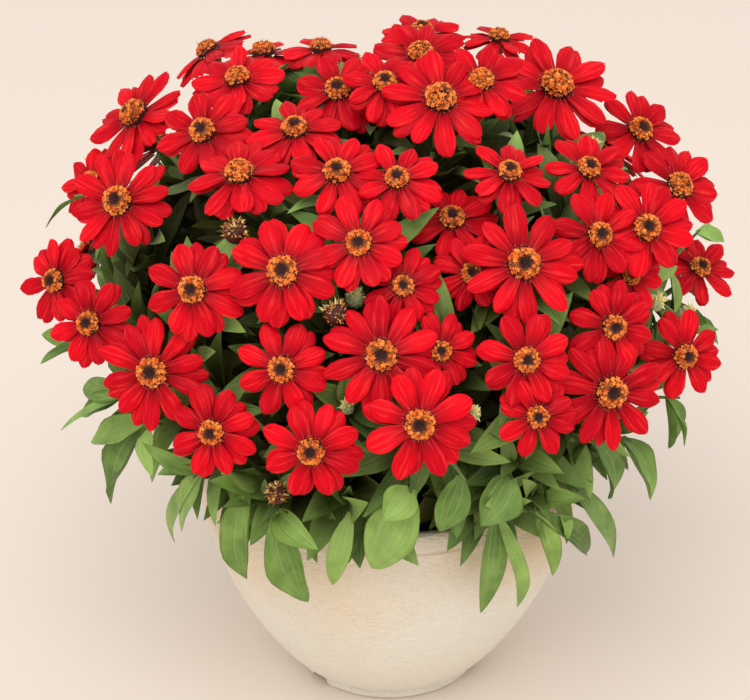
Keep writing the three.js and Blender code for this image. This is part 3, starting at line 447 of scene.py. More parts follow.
def facing_light(point):
    """The mound's normal leant towards the light in front, most at the front and the sides."""
    lean = FRONT_LEAN - point[1] / LEAN_DEPTH + SIDE_LEAN * abs(point[0]) / MOUND_RADIUS
    return unit(mound_normal(point) - max(LEAST_LEAN, lean) * FORWARD)


def in_layer(points, head, layer, room):
    """Which points lie in the flat layer that a head's rays fill."""
    offset = points - head["centre"]
    high = offset @ head["facing"]
    out = np.sqrt(np.maximum(0, (offset ** 2).sum(-1) - high ** 2))
    return (np.abs(high) < layer) & (out < head["radius"] + room)


def reaches(one, other):
    """Whether a point down the middle of a head, or on two rings of its rays, is in another."""
    level, rise = across_axis(one["facing"])
    ring = one["radius"] * around(level, rise, np.arange(PROBE_TURNS) * 2 * np.pi / PROBE_TURNS)
    core = one["centre"] + CORE_HEIGHTS[:, None] * one["facing"]
    rays = one["centre"] + np.vstack([PROBE_SHARE * ring, ring])
    return (in_layer(core, other, RAY_LAYER, STEM_ROOM).any()
            or in_layer(rays, other, RAY_LAYER, RAY_ROOM).any())


def meet(one, other):
    """Whether two heads have a part within each other's layer."""
    far = np.linalg.norm(one["centre"] - other["centre"])
    near = far <= one["radius"] + other["radius"] + NEIGHBOUR_ROOM
    return near and (reaches(one, other) or reaches(other, one))


def settle(head, along):
    """Moves a head along a line until no bloom meets it."""
    head["moved"] = 0
    while any(meet(head, other) for other in blooms):
        head["centre"] = head["centre"] + SETTLE_STEP * along
        head["moved"] += SETTLE_STEP
    return head


# The blooms that the picture shows, then the pairs on the far side
blooms = []
for pixel, span, *more in BLOOMS:
    more = more[0] if more else {}
    centre, sight = sighted(pixel)
    centre = centre + more.get("deeper", 0) * sight
    bloom = {"centre": centre, "radius": span / 2}
    if "mate" in more:
        first = blooms[-1]
        high = (centre - first["centre"]) @ first["facing"]
        bloom["facing"] = first["facing"]
        bloom["centre"] = centre - (MATE_DROP + high) / (sight @ first["facing"]) * sight
    else:
        bloom["facing"] = unit(np.array(more["facing"])) if "facing" in more else facing_light(centre)
        settle(bloom, sight)
    blooms.append(bloom)
for height, bearings, span in BACK_ROWS:
    for bearing in np.radians(bearings):
        out = mound_edge(height)
        middle = np.array([MOUND_X + out * np.sin(bearing), out * np.cos(bearing), height])
        facing = unit(mound_normal(middle) + BACK_UP * UPWARD)
        level, rise = across_axis(facing)
        aside = PAIR_SPREAD * span / 2 * level + PAIR_RISE * rise
        one = settle({"centre": middle - aside, "facing": facing, "radius": span / 2}, -facing)
        mate_centre = middle + aside - (PAIR_DROP + one["moved"]) * facing
        blooms += [one, {"centre": mate_centre, "facing": facing, "radius": span / 2}]


def small_head(pixel, size, grow):
    """A bud or spent head by its pixel, turned up from the light and clear of the blooms."""
    centre, sight = sighted(pixel, grow)
    facing = unit(facing_light(centre) + HEAD_UP * UPWARD)
    return settle({"centre": centre, "facing": facing, "radius": size}, sight)


def shoot_head(node, tips, behind):
    """The last node of a leafy shoot, with its leaves' tips, ways up and widths. One of the far
    side is a seen one turned half round the mound."""
    def there(pixel, grow):
        point = sighted(pixel, grow)[0]
        return (2 * MOUND_X, 0, 0) + point * (-1, -1, 1) if behind else point

    centre = there(node, NODE_GROW)
    out = unit(centre * (1, 1, 0))
    leaf_up = unit(out + LEAF_UP * UPWARD)
    low = centre[2] < HANGING_BELOW
    return {"centre": centre, "facing": unit(out + (HANG_UP if low else STAND_UP) * UPWARD), "low": low,
            "leaves": [(there(tip[:2], TIP_GROW), leaf_up, tip[2]) for tip in tips]}


buds = [small_head(*row, BUD_GROW) for row in BUDS]
spent_heads = [small_head(*row, SPENT_GROW) for row in SPENT]
shoots = [shoot_head(*row, False) for row in SHOOTS] + [shoot_head(*row, True) for row in SHOOTS[2::3]]


def as_rows(heads):
    """The centres of heads to a tenth of a millimetre, their facings to a hundredth and their
    radii, as arrays."""
    return (np.round([head["centre"] for head in heads], 1),
            unit(np.round([head["facing"] for head in heads], 2)),
            np.array([head["radius"] for head in heads]))


def place_along(way, share):
    """Places at shares of a row of points."""
    place = np.minimum(np.asarray(share) * (len(way) - 1), len(way) - 1.001)
    lower = place.astype(int)
    return way[lower] + (place - lower)[..., None] * (way[lower + 1] - way[lower])


def blocked(probed, head, crown, own_space):
    """Whether a stem runs through another head or close by another stem. Near their roots the
    stems of one plant may meet."""
    on_way = probed[2:STEM_PROBES + 1]
    if any(in_layer(on_way, other, STEM_LAYER, STEM_ROOM).any()
           for other in blooms + spent_heads if other is not head):
        return True
    for stem in stems:
        start, space = (ROOT_PROBES, own_space) if stem["crown"] == crown else (0, STEM_SPACE)
        gaps = np.linalg.norm(probed[max(2, start):, None] - stem["probed"][start:], axis=-1)
        if (gaps < space).any():
            return True
    return False


def clear_stem(head, root, start, steps, crown):
    """A stem's way from its root: a Bezier curve that leaves along start and meets its head
    from below, bent aside in rings of steps until it is clear."""
    is_shoot = "leaves" in head
    foot = head["centre"] - (0 if is_shoot else CUP_FOOT) * head["facing"]
    length = np.linalg.norm(foot - root)
    side, other = across_axis((foot - root) / length)
    share = np.linspace(0, 1, steps + 1)[:, None]
    for own_space in OWN_SPACES:
        for k in range(DETOUR_RINGS * DETOUR_TURNS + 1):
            turn = 2 * np.pi * k / DETOUR_TURNS
            aside = DETOUR_STEP * np.ceil(k / DETOUR_TURNS) * around(side, other, turn)
            leaving = root + ROOT_BEND * length * start + ROOT_SHIFT * aside
            meeting = foot - HEAD_BEND * length * head["facing"] + aside
            way = (1 - share) ** 3 * root + 3 * (1 - share) ** 2 * share * leaving \
                + 3 * (1 - share) * share ** 2 * meeting + share ** 3 * foot
            probed = place_along(way, np.arange(STEM_PROBES + 1) / STEM_PROBES)
            if not is_shoot:
                cup = foot + CUP_LENGTH * np.array([[0.5], [1]]) * head["facing"]
                probed = np.vstack([probed, cup])
            if not blocked(probed, head, crown, own_space):
                return {"crown": crown, "head": head, "way": way, "probed": probed, "forks": 0}
    return None


def grow_stem(head):
    """A head's stem: a branch of the nearest leader that has room for one, or a leader of its
    own from the plant's main stem."""
    low = head.get("low", False)
    bearings = np.radians(list(CROWN_BEARINGS.values()))
    crown = int(np.argmax(head["centre"][0] * np.sin(bearings) + head["centre"][1] * np.cos(bearings)))
    own = [stem for stem in stems if stem["crown"] == crown]
    near = []
    for stem in own:
        far = np.linalg.norm(stem["head"]["centre"] - head["centre"])
        forks = stem["kind"] == "leader" and stem["forks"] < len(FORK_SHARES)
        if forks and far < FORK_REACH and not low:
            near.append((far, stem))
    for _, leader in sorted(near, key=lambda pair: pair[0]):
        share = FORK_SHARES[leader["forks"]]
        root = place_along(leader["way"], share)
        ahead = unit(place_along(leader["way"], share + STEM_AHEAD) - root)
        stem = clear_stem(head, root, unit(ahead + unit(head["centre"] - root)), 2, crown)
        if stem:
            leader["forks"] += 1
            return {**stem, "kind": "shoot" if "leaves" in head else "branch", "from_crown": False}
    before = sum(stem["from_crown"] and stem["head"].get("low", False) == low for stem in own)
    height = min(TOP_ROOT, SHOOT_ROOT + SHOOT_RISE * before if low else LEADER_ROOT + LEADER_RISE * before)
    out = CROWN_RADIUS * (1 + CROWN_SPLAY * max(0, (height - SOIL_TOP) / SPLAY_HEIGHT))
    root = np.array([out * np.sin(bearings[crown]), out * np.cos(bearings[crown]), height])
    start = TO_HEAD * unit(head["centre"] - root) + START_UP * UPWARD
    stem = clear_stem(head, root, start, 3, crown)
    return {**stem, "kind": "shoot" if "leaves" in head else "leader", "from_crown": True}


# Every head's stem in turn, each clear of those before it
stems = []
for head in blooms + spent_heads + buds + shoots:
    stems.append(grow_stem(head))


def smooth_way(way):
    """Thirteen points along a way, its corners rounded by averaging with the neighbours."""
    share = np.linspace(0, 1, 13)
    points = np.stack([np.interp(share, np.linspace(0, 1, len(way)), axis) for axis in zip(*way)], -1)
    for _ in range(5):
        points[1:-1] = (points[:-2] + 2 * points[1:-1] + points[2:]) / 4
    return points


def tubes(ways, radii, sides):
    """Round rods along the ways: rings square to each way's direction, on radii given for each
    ring, with a shallow rib at every second side."""
    along = unit(np.gradient(ways, axis=1))
    across = np.cross(along[:, :1], along[:, -1:]) + np.array([1e-3, 2e-3, 1e-3])
    side = unit(across - along * (across * along).sum(-1, keepdims=True))
    other = np.cross(along, side)
    angle = np.linspace(0, 2 * np.pi, sides, endpoint=False)
    radii = np.broadcast_to(radii, ways.shape[:2])[..., None] * (1 + 0.05 * np.cos(sides / 2 * angle))
    rings = ways[:, :, None] + radii[..., None] * around(side[:, :, None], other[:, :, None], angle)
    return capped_rings(rings, ways[:, 0], ways[:, -1])


# The side stems, leaders first and shoots last, their ways to the whole millimetre
kinds = np.array([stem["kind"] for stem in stems])
order = np.concatenate([np.flatnonzero(kinds == kind) for kind in ("leader", "branch", "shoot")])
stem_ways = np.stack([smooth_way(np.round(stems[i]["way"])) for i in order])
is_leader = kinds[order] == "leader"
is_shoot = kinds[order] == "shoot"
taper = np.linspace(0, 1, 13)
side_radii = 1.8 - 0.3 * taper - 0.8 * taper ** 4 * is_shoot[:, None]
stem_radii = np.where(is_leader[:, None], 2.4 - 0.7 * taper, side_radii)
stem_points, stem_faces = tubes(stem_ways, stem_radii, 8)

MAIN_BEND = 157
main_heights = np.array([97, 120, 140, SOIL_TOP, MAIN_BEND, 170, 185, 200, 212])
main_out = CROWN_RADIUS * (1 + CROWN_SPLAY * np.clip((main_heights - MAIN_BEND) / SPLAY_HEIGHT, 0, 1))
main_turns = np.radians(list(CROWN_BEARINGS.values()))[:, None]
main_ways = np.stack([main_out * np.sin(main_turns), main_out * np.cos(main_turns),
                      main_heights + 0 * main_turns], -1)
main_points, main_faces = tubes(main_ways, np.linspace(4.5, 3.4, 9), 12)

stem_green, shader = new_finish("stem_green", 0.6)
shader.paint(shader.use(mottling, {
    "Scale": 120, "Detail": 2, "Low": 0.3, "High": 0.75,
    "Dark": (0.10, 0.17, 0.05, 1), "Light": (0.26, 0.36, 0.13, 1)}, "Colour"))

make_piece("stems", stem_points, stem_faces, stem_green, "foliage")
make_piece("main_stems", main_points, main_faces, stem_green, "foliage")

# The blooms: single zinnia heads on stiff stems, tilted to the light. Each has broad scarlet rays
# in two layers round its disc, grooved lengthwise and faintly notched at the tip.
centres, facings, bloom_radii = as_rows(blooms)
level = unit(np.cross(UPWARD, facings))
rise = np.cross(facings, level)


def draws(seed):
    """Endless repeatable draws from nought to one, the same as those that shaped the plain blooms."""
    while True:
        seed = seed * 16807 % 2147483647
        yield seed / 2147483647


def closed_blades(upper, under, thickness):
    """Thin closed blades: the upper sheet is a grid of rows along and columns across, and the
    lower one hangs under its inner points by the thickness and shares its rim."""
    count, rows, columns, _ = upper.shape
    inner = upper[:, 1:-1, 1:-1] - thickness * under
    points = np.concatenate([upper.reshape(count, -1, 3), inner.reshape(count, -1, 3)], 1)
    above = np.arange(rows * columns).reshape(rows, columns)
    below = above.copy()
    below[1:-1, 1:-1] = rows * columns + np.arange((rows - 2) * (columns - 2)).reshape(rows - 2, -1)

    def squares(grid):
        return np.stack([grid[:-1, :-1], grid[1:, :-1], grid[1:, 1:], grid[:-1, 1:]], -1).reshape(-1, 4)

    both = np.concatenate([squares(above), squares(below)[:, ::-1]])
    return points.reshape(-1, 3), for_each(both, count, points.shape[1])


def blade_values(values, rows, columns):
    """A value for each point of closed blades from one for each point of their upper grids."""
    values = np.broadcast_to(values, (values.shape[0], rows, columns))
    return np.concatenate([values.reshape(len(values), -1),
                           values[:, 1:-1, 1:-1].reshape(len(values), -1)], 1).ravel()


BLOOM_SEED, SEED_STEP = 1000, 37
MANY_RAYS, LOWER_RAYS = 29.5, 7
ray_rows = []
for index, radius in enumerate(bloom_radii):
    draw = draws(BLOOM_SEED + SEED_STEP * index)
    count = 8 if radius < MANY_RAYS else 10
    start = math.pi * next(draw)
    cupping = -0.10 + 0.14 * next(draw)
    for k in range(count):
        reach, lift = 0.93 + 0.11 * next(draw), 2.4 * next(draw) - 1.2
        ray_rows.append((index, start + (k + 0.5) * 2 * math.pi / count, reach, lift, cupping, k % 2, count))
    for k in range(LOWER_RAYS):
        turn = start + (k + 0.4 * next(draw) - 0.2) * 2 * math.pi / LOWER_RAYS
        ray_rows.append((index, turn, 0.92 + 0.12 * next(draw), 1.6 * next(draw) - 1, cupping, 2, count))
ray_rows = np.array(ray_rows)
ray_bloom = ray_rows[:, 0].astype(int)
ray_turn, ray_reach, ray_lift, ray_cupping, ray_layer, ray_count = ray_rows[:, 1:].T[:, :, None, None]
ray_size = bloom_radii[ray_bloom][:, None, None]
rng = np.random.default_rng(5)
ray_twist = rng.normal(0, 0.16, ray_size.shape)
ray_reach = ray_reach * 1.13 - 0.09 * rng.random(ray_size.shape) ** 3
ray_layer = ray_layer.astype(int)
ray_breadth = rng.uniform(0.9, 1.08, ray_size.shape) * np.array([0.94, 0.92, 0.93])[ray_layer]
ray_tone = rng.uniform(0, 1, len(ray_rows))

RAY_ROWS, RAY_COLUMNS, RAY_THICKNESS = 7, 7, 0.5
s = np.array([0, 0.16, 0.36, 0.58, 0.8, 0.94, 1])[None, :, None]
v = np.linspace(-1, 1, RAY_COLUMNS)[None, None, :]
ray_claw = 0.48 + 0.52 * np.clip(s / 0.62, 0, 1) ** 0.9
ray_round = np.sqrt(np.clip(1 - np.clip((s - 0.54) / 0.475, 0, 1) ** 2.5, 0, 1))
half_width = ray_breadth * 0.98 * np.pi * 0.66 * ray_size / ray_count * ray_claw * ray_round
hub = 0.24 * ray_size
notch = np.where(np.abs(np.abs(v) - 1 / 3) < 0.1, 0.035, 0) * (s > 0.97)
out = hub + (ray_size * ray_reach - hub) * (s - notch - 0.05 * v ** 2 * s ** 2)
side = half_width * v
base_height = np.array([0.9, -0.3, -1.4])[ray_layer]
edge_height = np.array([1.3, -0.8, -2.4])[ray_layer]
tip_height = np.array([1.1, -1.8, -3.4])[ray_layer] + ray_lift
middle_height = edge_height + 1.0
along_height = base_height * (1 - s) ** 2 + 2 * middle_height * s * (1 - s) + tip_height * s ** 2
grooves = 0.42 * np.cos(3 * np.pi * v) * np.sin(np.pi * np.clip(s, 0, 0.9)) - 1.5 * v ** 2 * s
height = along_height + grooves + ray_twist * side + 0.6 * np.sin(3.1 * s + 9 * ray_twist) * s
height = height + ray_cupping * ray_size * (out ** 2 + side ** 2) / ray_size ** 2
radial = around(level[ray_bloom][:, None, None], rise[ray_bloom][:, None, None], ray_turn)
facing = facings[ray_bloom][:, None, None]
tangent = np.cross(facing, radial)
ray_upper = centres[ray_bloom][:, None, None] + out[..., None] * radial \
    + side[..., None] * tangent + height[..., None] * facing
ray_points, ray_faces = closed_blades(ray_upper, facing, RAY_THICKNESS)
ray_flat = np.stack([blade_values(s + 0 * side, RAY_ROWS, RAY_COLUMNS),
                     blade_values(0.5 + 0.5 * v + 0 * side, RAY_ROWS, RAY_COLUMNS)], -1)

blade_strands = new_effect(
    "blade_strands", {"Tone": "Float", "Scale": "Vector", "Detail": "Float"}, {"Strands": "Float"})
given = blade_strands.given
stretched = blade_strands.add("Mapping", {"Vector": blade_strands.flat(), "Scale": given["Scale"]}, "Vector")
shift = {0: given["Tone"], 1: (40, 40, 40), 2: stretched}
shifted = blade_strands.add("VectorMath", shift, "Vector", operation="MULTIPLY_ADD")
blade_strands.feed(blade_strands.result, {"Strands": blade_strands.noise(shifted, 1, given["Detail"])})

scarlet, shader = new_finish("scarlet_rays", 0.45, specular=0.07)
tone = shader.value("ray_tone")
strands = shader.use(blade_strands, {"Tone": tone, "Scale": (1.5, 8, 1), "Detail": 2}, "Strands")
along = shader.part(shader.flat(), "X")
# Painted shade: each ray darkens towards the disc, where the disc and the rays over it shade it.
painted_base_shade = shader.ramp(along, (0, (0.30, 0.001, 0.006)), (0.5, (0.80, 0.002, 0.012)))
ray_variety_and_shade = shader.ramp(tone, (0, (0.66, 0.5, 0.8)), (1, WHITE))
shaded = shader.mix(1, painted_base_shade, ray_variety_and_shade, "MULTIPLY")
strand_shade = shader.ramp(strands, (0.3, (0.72, 0.6, 0.7)), (0.62, WHITE))
veined = shader.mix(0.55, shaded, strand_shade, "MULTIPLY")
# Painted highlights: paler scarlet streaks along the raised strands, where light catches the ridges.
painted_ridge_highlights = shader.mix(shader.mapped(strands, 0.52, 0.85, 0.6), veined, (1, 0.06, 0.05, 1))
shader.paint(shader.mix(shader.value("ray_under"), painted_ridge_highlights, (0.42, 0.13, 0.10, 1)))
shader.relief(strands, distance=0.0006, strength=0.5)

ray_under = np.concatenate([np.zeros((len(ray_rows), RAY_ROWS * RAY_COLUMNS)),
                            np.ones((len(ray_rows), (RAY_ROWS - 2) * (RAY_COLUMNS - 2)))], 1)
# Tone differs at random from ray to ray. The lower layer's tone is also cut by a third, as painted shade
# under the upper rays.
ray_tone = blade_values((ray_tone * (1 - 0.35 * (ray_rows[:, 5] > 1)))[:, None, None], RAY_ROWS, RAY_COLUMNS)
rays = make_piece("rays", ray_points, ray_faces, scarlet, "petals", uv=ray_flat,
                  ray_under=ray_under.ravel(), ray_tone=ray_tone)
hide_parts(*[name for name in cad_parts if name.startswith("bloom")])

# The discs: a raised dome in the middle of each bloom, dark maroon bristles at its centre and four
# rings of open florets round them, little orange stars. Some discs are open to the middle.
DOME_COLUMNS = 16
DISC_SHARE = 0.28
USUAL_RADIUS = 27
disc_shares = np.array([(1.0, 0.2), (1.02, 0.9), (0.98, 2.4), (0.9, 4.6), (0.76, 6.4), (0.55, 7.2),
                        (0.3, 6.6), (0.12, 6.0)])
disc_out = DISC_SHARE * bloom_radii[:, None] * disc_shares[:, 0]
disc_height = bloom_radii[:, None] / USUAL_RADIUS * disc_shares[:, 1]


def turned_about(centre, facing, out, height, lap=0):
    """Closed domes of revolution about each facing: rings of the given radii at the given
    heights over each centre. A lap draws their points in and out by turns, half a step apart
    from row to row, so that the skin looks like lapping scales."""
    across = unit(np.cross(UPWARD, facing))
    turn = np.linspace(0, 2 * np.pi, DOME_COLUMNS, endpoint=False)
    spoke = around(across[:, None], np.cross(facing, across)[:, None], turn)
    odd = (np.arange(out.shape[1])[:, None] + np.arange(DOME_COLUMNS)) % 2
    out = out[..., None] * (1 + lap * np.where(odd, -1, 1))
    rings = centre[:, None, None] + out[..., None] * spoke[:, None] \
        + height[..., None, None] * facing[:, None, None]
    return capped_rings(rings, centre + height[:, :1] * facing, centre + height[:, -1:] * facing)


disc_points, disc_faces = turned_about(centres, facings, disc_out, disc_height)

disc_brown, shader = new_finish("disc_dome", 0.7)
zones = shader.ramp(shader.value("disc_zone"), (0.3, (0.05, 0.006, 0.006)), (0.5, (0.40, 0.10, 0.015)),
                    (0.85, (0.045, 0.008, 0.007)))
shader.paint(shader.mix(0.8, zones, shader.noise(shader.place(), 900), "MULTIPLY"))
disc_zone = np.append(np.repeat([0, 0, 0.1, 0.35, 0.5, 0.6, 0.85, 1], DOME_COLUMNS), [0, 1])
make_piece("disc_domes", disc_points, disc_faces, disc_brown, "petals",
           disc_zone=np.tile(disc_zone, len(centres)))


def spikes(foot, direction, length, width):
    """Slender three-sided spikes: three points round each foot and one at the tip."""
    across = unit(np.cross(direction, (0.31, 0.22, 0.92)) + 1e-6)
    upright = np.cross(direction, across)
    spoke = around(across[:, None], upright[:, None], np.arange(3) * 2 * np.pi / 3)
    ring = foot[:, None] + width[:, None, None] * spoke
    points = np.concatenate([ring, (foot + length[:, None] * direction)[:, None]], 1)
    faces = np.array([(0, 1, 3), (1, 2, 3), (2, 0, 3), (2, 1, 0)])
    return points.reshape(-1, 3), for_each(faces, len(foot), 4)


def round_discs(count, share, high, lean):
    """Places round every disc: count of them at a share of its radius and a height, and the way
    up from each that leans outwards, all a little uneven."""
    turn = rng.uniform(0, 2 * np.pi, (len(centres), 1)) + np.arange(count) * 2 * np.pi / count \
        + rng.normal(0, 0.08, (len(centres), count))
    spoke = around(level[:, None], rise[:, None], turn)
    scale = bloom_radii[:, None] / USUAL_RADIUS
    out = DISC_SHARE * bloom_radii[:, None] * share * rng.uniform(0.93, 1.07, turn.shape)
    up = scale * (high + rng.normal(0, 0.4, turn.shape))
    middle = centres[:, None] + out[..., None] * spoke + up[..., None] * facings[:, None]
    axis = unit(lean * spoke + facings[:, None] + rng.normal(0, 0.12, spoke.shape))
    return middle.reshape(-1, 3), axis.reshape(-1, 3), (scale * np.ones(turn.shape)).ravel()


BRISTLE_RINGS = ((9, 0.14, 5.4, 0.1, 0.0), (11, 0.32, 6.0, 0.2, 0.0), (12, 0.42, 7.4, 0.2, 0.4),
                 (20, 0.98, 2.2, 2.2, 1.0), (18, 1.02, 1.0, 4.0, 1.0))
bristle_parts = [(*round_discs(*ring[:4]), ring[4]) for ring in BRISTLE_RINGS]
bristle_foot, bristle_way, bristle_scale = (
    np.concatenate([part[k] for part in bristle_parts]) for k in range(3))
bristle_chaff = np.concatenate([np.full(len(part[0]), part[3]) for part in bristle_parts])
bristle_length = bristle_scale * rng.uniform(1.2, 2.4, len(bristle_foot))
bristle_points, bristle_faces = spikes(bristle_foot, bristle_way, bristle_length, bristle_scale * 0.42)

bristle_brown, shader = new_finish("maroon_bristles", 0.6)
shader.paint(shader.ramp(shader.value("bristle_tip"), (0, (0.05, 0.006, 0.006)), (0.5, (0.20, 0.03, 0.01)),
                         (1, (0.75, 0.50, 0.30))))
bristle_tip = np.repeat((0.45 + 0.55 * bristle_chaff)[:, None], 4, 1) * (0, 0, 0, 1)
make_piece("disc_bristles", bristle_points, bristle_faces, bristle_brown, "petals",
           bristle_tip=bristle_tip.ravel())


def star_florets(middle, axis, size, turn, droop):
    """Open star florets: five points round a hollow, on a short tube that ends in a point
    below. Each star lies square to its axis; droop lowers the points."""
    across = unit(np.cross(axis, (0.3, 0.2, 0.93)) + 1e-6)
    upright = np.cross(axis, across)
    angle = turn[:, None] + np.arange(10) * np.pi / 5
    reach = size[:, None] * np.where(np.arange(10) % 2 == 0, 1.0, 0.45)
    drop = np.where(np.arange(10) % 2 == 0, -droop, 0.0)
    rim = middle[:, None] + reach[..., None] * around(across[:, None], upright[:, None], angle) \
        + (size[:, None] * drop)[..., None] * axis[:, None]
    hollow = middle - 0.35 * size[:, None] * axis
    foot = middle - 1.5 * size[:, None] * axis
    points = np.concatenate([rim, hollow[:, None], foot[:, None]], 1)
    k = np.arange(10)
    after = (k + 1) % 10
    fans = np.concatenate([np.stack([k, after, np.full(10, 10)], -1),
                           np.stack([after, k, np.full(10, 11)], -1)])
    return points.reshape(-1, 3), for_each(fans, len(middle), 12)


FLORET_RINGS = ((18, 0.98, 4.2, 1.0), (17, 0.86, 6.0, 0.6), (13, 0.7, 7.2, 0.2), (7, 0.57, 7.5, 0.1))
MIDDLE_RINGS = ((7, 0.44, 7.5, 0.0), (6, 0.3, 7.4, -0.1), (3, 0.14, 7.0, -0.1))
FULL_DISCS = (30, 32, 35, 37, 38, 39, 42, 43, 45, 46, 47, 48, 58)
all_rings = [round_discs(*ring) for ring in FLORET_RINGS]
for ring in MIDDLE_RINGS:
    full = np.isin(np.repeat(np.arange(len(centres)), ring[0]), FULL_DISCS)
    all_rings.append([part[full] for part in round_discs(*ring)])
floret_middle, floret_axis, floret_scale = (np.concatenate(parts) for parts in zip(*all_rings))
floret_size = floret_scale * rng.uniform(1.3, 1.9, len(floret_scale))
floret_points, floret_faces = star_florets(floret_middle, floret_axis, floret_size,
                                           rng.uniform(0, 6.28, len(floret_middle)), 0.25)

orange, shader = new_finish("orange_florets", 0.55)
shader.paint(shader.ramp(shader.value("floret_tone"), (0, (0.68, 0.12, 0.015)), (1, (1.0, 0.38, 0.08))))
make_piece("star_florets", floret_points, floret_faces, orange, "petals",
           floret_tone=np.repeat(rng.uniform(0, 1, len(floret_middle)), 12))

# The cups: green scales that lap over one another and hold each bloom from below. Each cup is
# round, and its skin steps in and out from scale to scale.
cup_outline = np.array([(1.5, -CUP_FOOT), (2.8, -10.4), (3.9, -8.6), (4.9, -6.2), (5.2, -4.0),
                        (4.9, -2.6), (4.4, -1.2)])
cup_out, cup_height = np.ones((2, len(centres), 1)) * cup_outline.T[:, None]
cup_points, cup_faces = turned_about(centres, facings, cup_out, cup_height, lap=0.07)
make_piece("cups", cup_points, cup_faces, stem_green, "foliage")

# The buds and young heads: green eggs of lapping scales, each with a crest of pale yellow young
# florets round its tip.
bud_centres, bud_facings, bud_sizes = as_rows(buds)
bud_sizes = bud_sizes[:, None]
bud_shares = np.array([(0.35, -0.1), (0.7, 0.15), (0.95, 0.5), (1.0, 0.9), (0.95, 1.35),
                       (0.75, 1.8), (0.45, 2.15), (0.2, 2.3)])
bud_points, bud_faces = turned_about(bud_centres, bud_facings, bud_sizes * bud_shares[:, 0],
                                     bud_sizes * bud_shares[:, 1] - CUP_FOOT, lap=0.06)
bud_green, shader = new_finish("bud_green", 0.6)
shader.paint(shader.use(mottling, {
    "Scale": 500, "Detail": 2, "Low": 0.35, "High": 0.65,
    "Dark": (0.26, 0.30, 0.12, 1), "Light": (0.56, 0.56, 0.30, 1)}, "Colour"))
make_piece("buds", bud_points, bud_faces, bud_green, "foliage")

CREST_FLORETS = 30
rng = np.random.default_rng(17)
crest_facing = np.repeat(bud_facings, CREST_FLORETS, 0)
crest_way = unit(crest_facing + rng.normal(0, 0.45, crest_facing.shape))
crest_middle = bud_centres + (bud_sizes * 1.3 - CUP_FOOT) * bud_facings
crest_foot = np.repeat(crest_middle, CREST_FLORETS, 0) \
    + np.repeat(bud_sizes, CREST_FLORETS, 0) * (0.85 * crest_way)
crest_points, crest_faces = spikes(crest_foot, crest_way, rng.uniform(2.4, 4.4, len(crest_foot)),
                                   np.full(len(crest_foot), 0.95))
pale_yellow, shader = new_finish("pale_young_florets", 0.6)
shader.paint((0.90, 0.80, 0.36, 1))
make_piece("bud_crests", crest_points, crest_faces, pale_yellow, "foliage")

# The spent heads: brown domes whose rays have dropped. Dried florets, from dark brown to straw,
# bristle from each at uneven angles.
spent_centres, spent_facings, spent_sizes = as_rows(spent_heads)
spent_sizes = spent_sizes[:, None]
spent_shares = np.array([(0.5, -0.45), (0.9, -0.1), (1.0, 0.3), (0.95, 0.7), (0.75, 1.05),
                         (0.4, 1.25), (0.15, 1.2)])
spent_points, spent_faces = turned_about(spent_centres, spent_facings, spent_sizes * spent_shares[:, 0],
                                         spent_sizes * spent_shares[:, 1])
ring_tips = np.repeat([0.1, 0.05, 0.05, 0.05, 0.05, 0.05, 0.0], DOME_COLUMNS)
spent_tip = np.tile(np.append(ring_tips, [0, 0]), len(spent_heads))
spent = make_piece("spent_domes", spent_points, spent_faces, bristle_brown, "spent_florets",
                   bristle_tip=spent_tip)
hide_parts("spent_head_1", "spent_head_2", "spent_head_3")

DRIED_FLORETS = 90
dried = rng.normal(0, 1, (len(spent_heads), DRIED_FLORETS, 3))
dried_way = unit(unit(dried) + 0.8 * spent_facings[:, None])
dried_foot = (spent_centres + 0.35 * spent_sizes * spent_facings)[:, None] \
    + 0.85 * spent_sizes[:, None] * dried_way
dried_way = unit(dried_way + rng.normal(0, 0.35, dried_way.shape)).reshape(-1, 3)
dried_tone = rng.uniform(0, 1, len(dried_way))
dried_length = rng.uniform(1.6, 4.6, len(dried_way))
dried_width = rng.uniform(0.6, 1.2, len(dried_way))
dried_points, dried_faces = spikes(dried_foot.reshape(-1, 3), dried_way, dried_length, dried_width)
dried_brown, shader = new_finish("dried_florets", 0.8)
shader.paint(shader.ramp(shader.value("dried_tone"), (0, (0.16, 0.05, 0.02)), (0.5, (0.62, 0.28, 0.05)),
                         (1, (0.85, 0.68, 0.30))))
make_piece("dried_florets", dried_points, dried_faces, dried_brown, "spent_florets",
           dried_tone=np.repeat(dried_tone, 4))

# The leaves: opposite pairs without stalks, lance-shaped and matt, with three veins that run
# lengthwise. Those that hang over the lip are the largest.
PAIR_SEED, PAIR_TURNS, PAIR_PLACES = 5000, 9, (0.5, 0.65, 0.8)
PAIR_LENGTH, PAIR_OUT, PAIR_ALONG, PAIR_WIDTH = 54, 0.85, 0.42, 0.36
LEAF_PLACE, LEAF_THICKNESS, DARK_DEPTH = 0.94, 0.45, 80


def leaf_pairs(stem_way, seed):
    """Opposite leaves on a leader, one pair for each turn and height that it may stand at."""
    draw = draws(seed)
    first_turn = np.pi * next(draw)
    length = PAIR_LENGTH * (0.85 + 0.25 * next(draw))
    for k in range(PAIR_TURNS):
        share = PAIR_PLACES[k % len(PAIR_PLACES)]
        base = place_along(stem_way, share)
        along = unit(place_along(stem_way, share + STEM_AHEAD) - base)
        side, other = across_axis(along)
        turn = first_turn + k * np.pi / PAIR_TURNS
        out = PAIR_OUT * length * around(side, other, turn)
        middle = base + PAIR_ALONG * length * along
        yield [(base, middle + way * out, along, PAIR_WIDTH * length) for way in (-1, 1)]


def corners_of(node):
    """The corners of one of the frame's nodes, in millimetres."""
    mesh = bpy.data.objects[node].data
    corners = np.empty(3 * len(mesh.vertices))
    mesh.vertices.foreach_get("co", corners)
    return corners.reshape(-1, 3) / MM


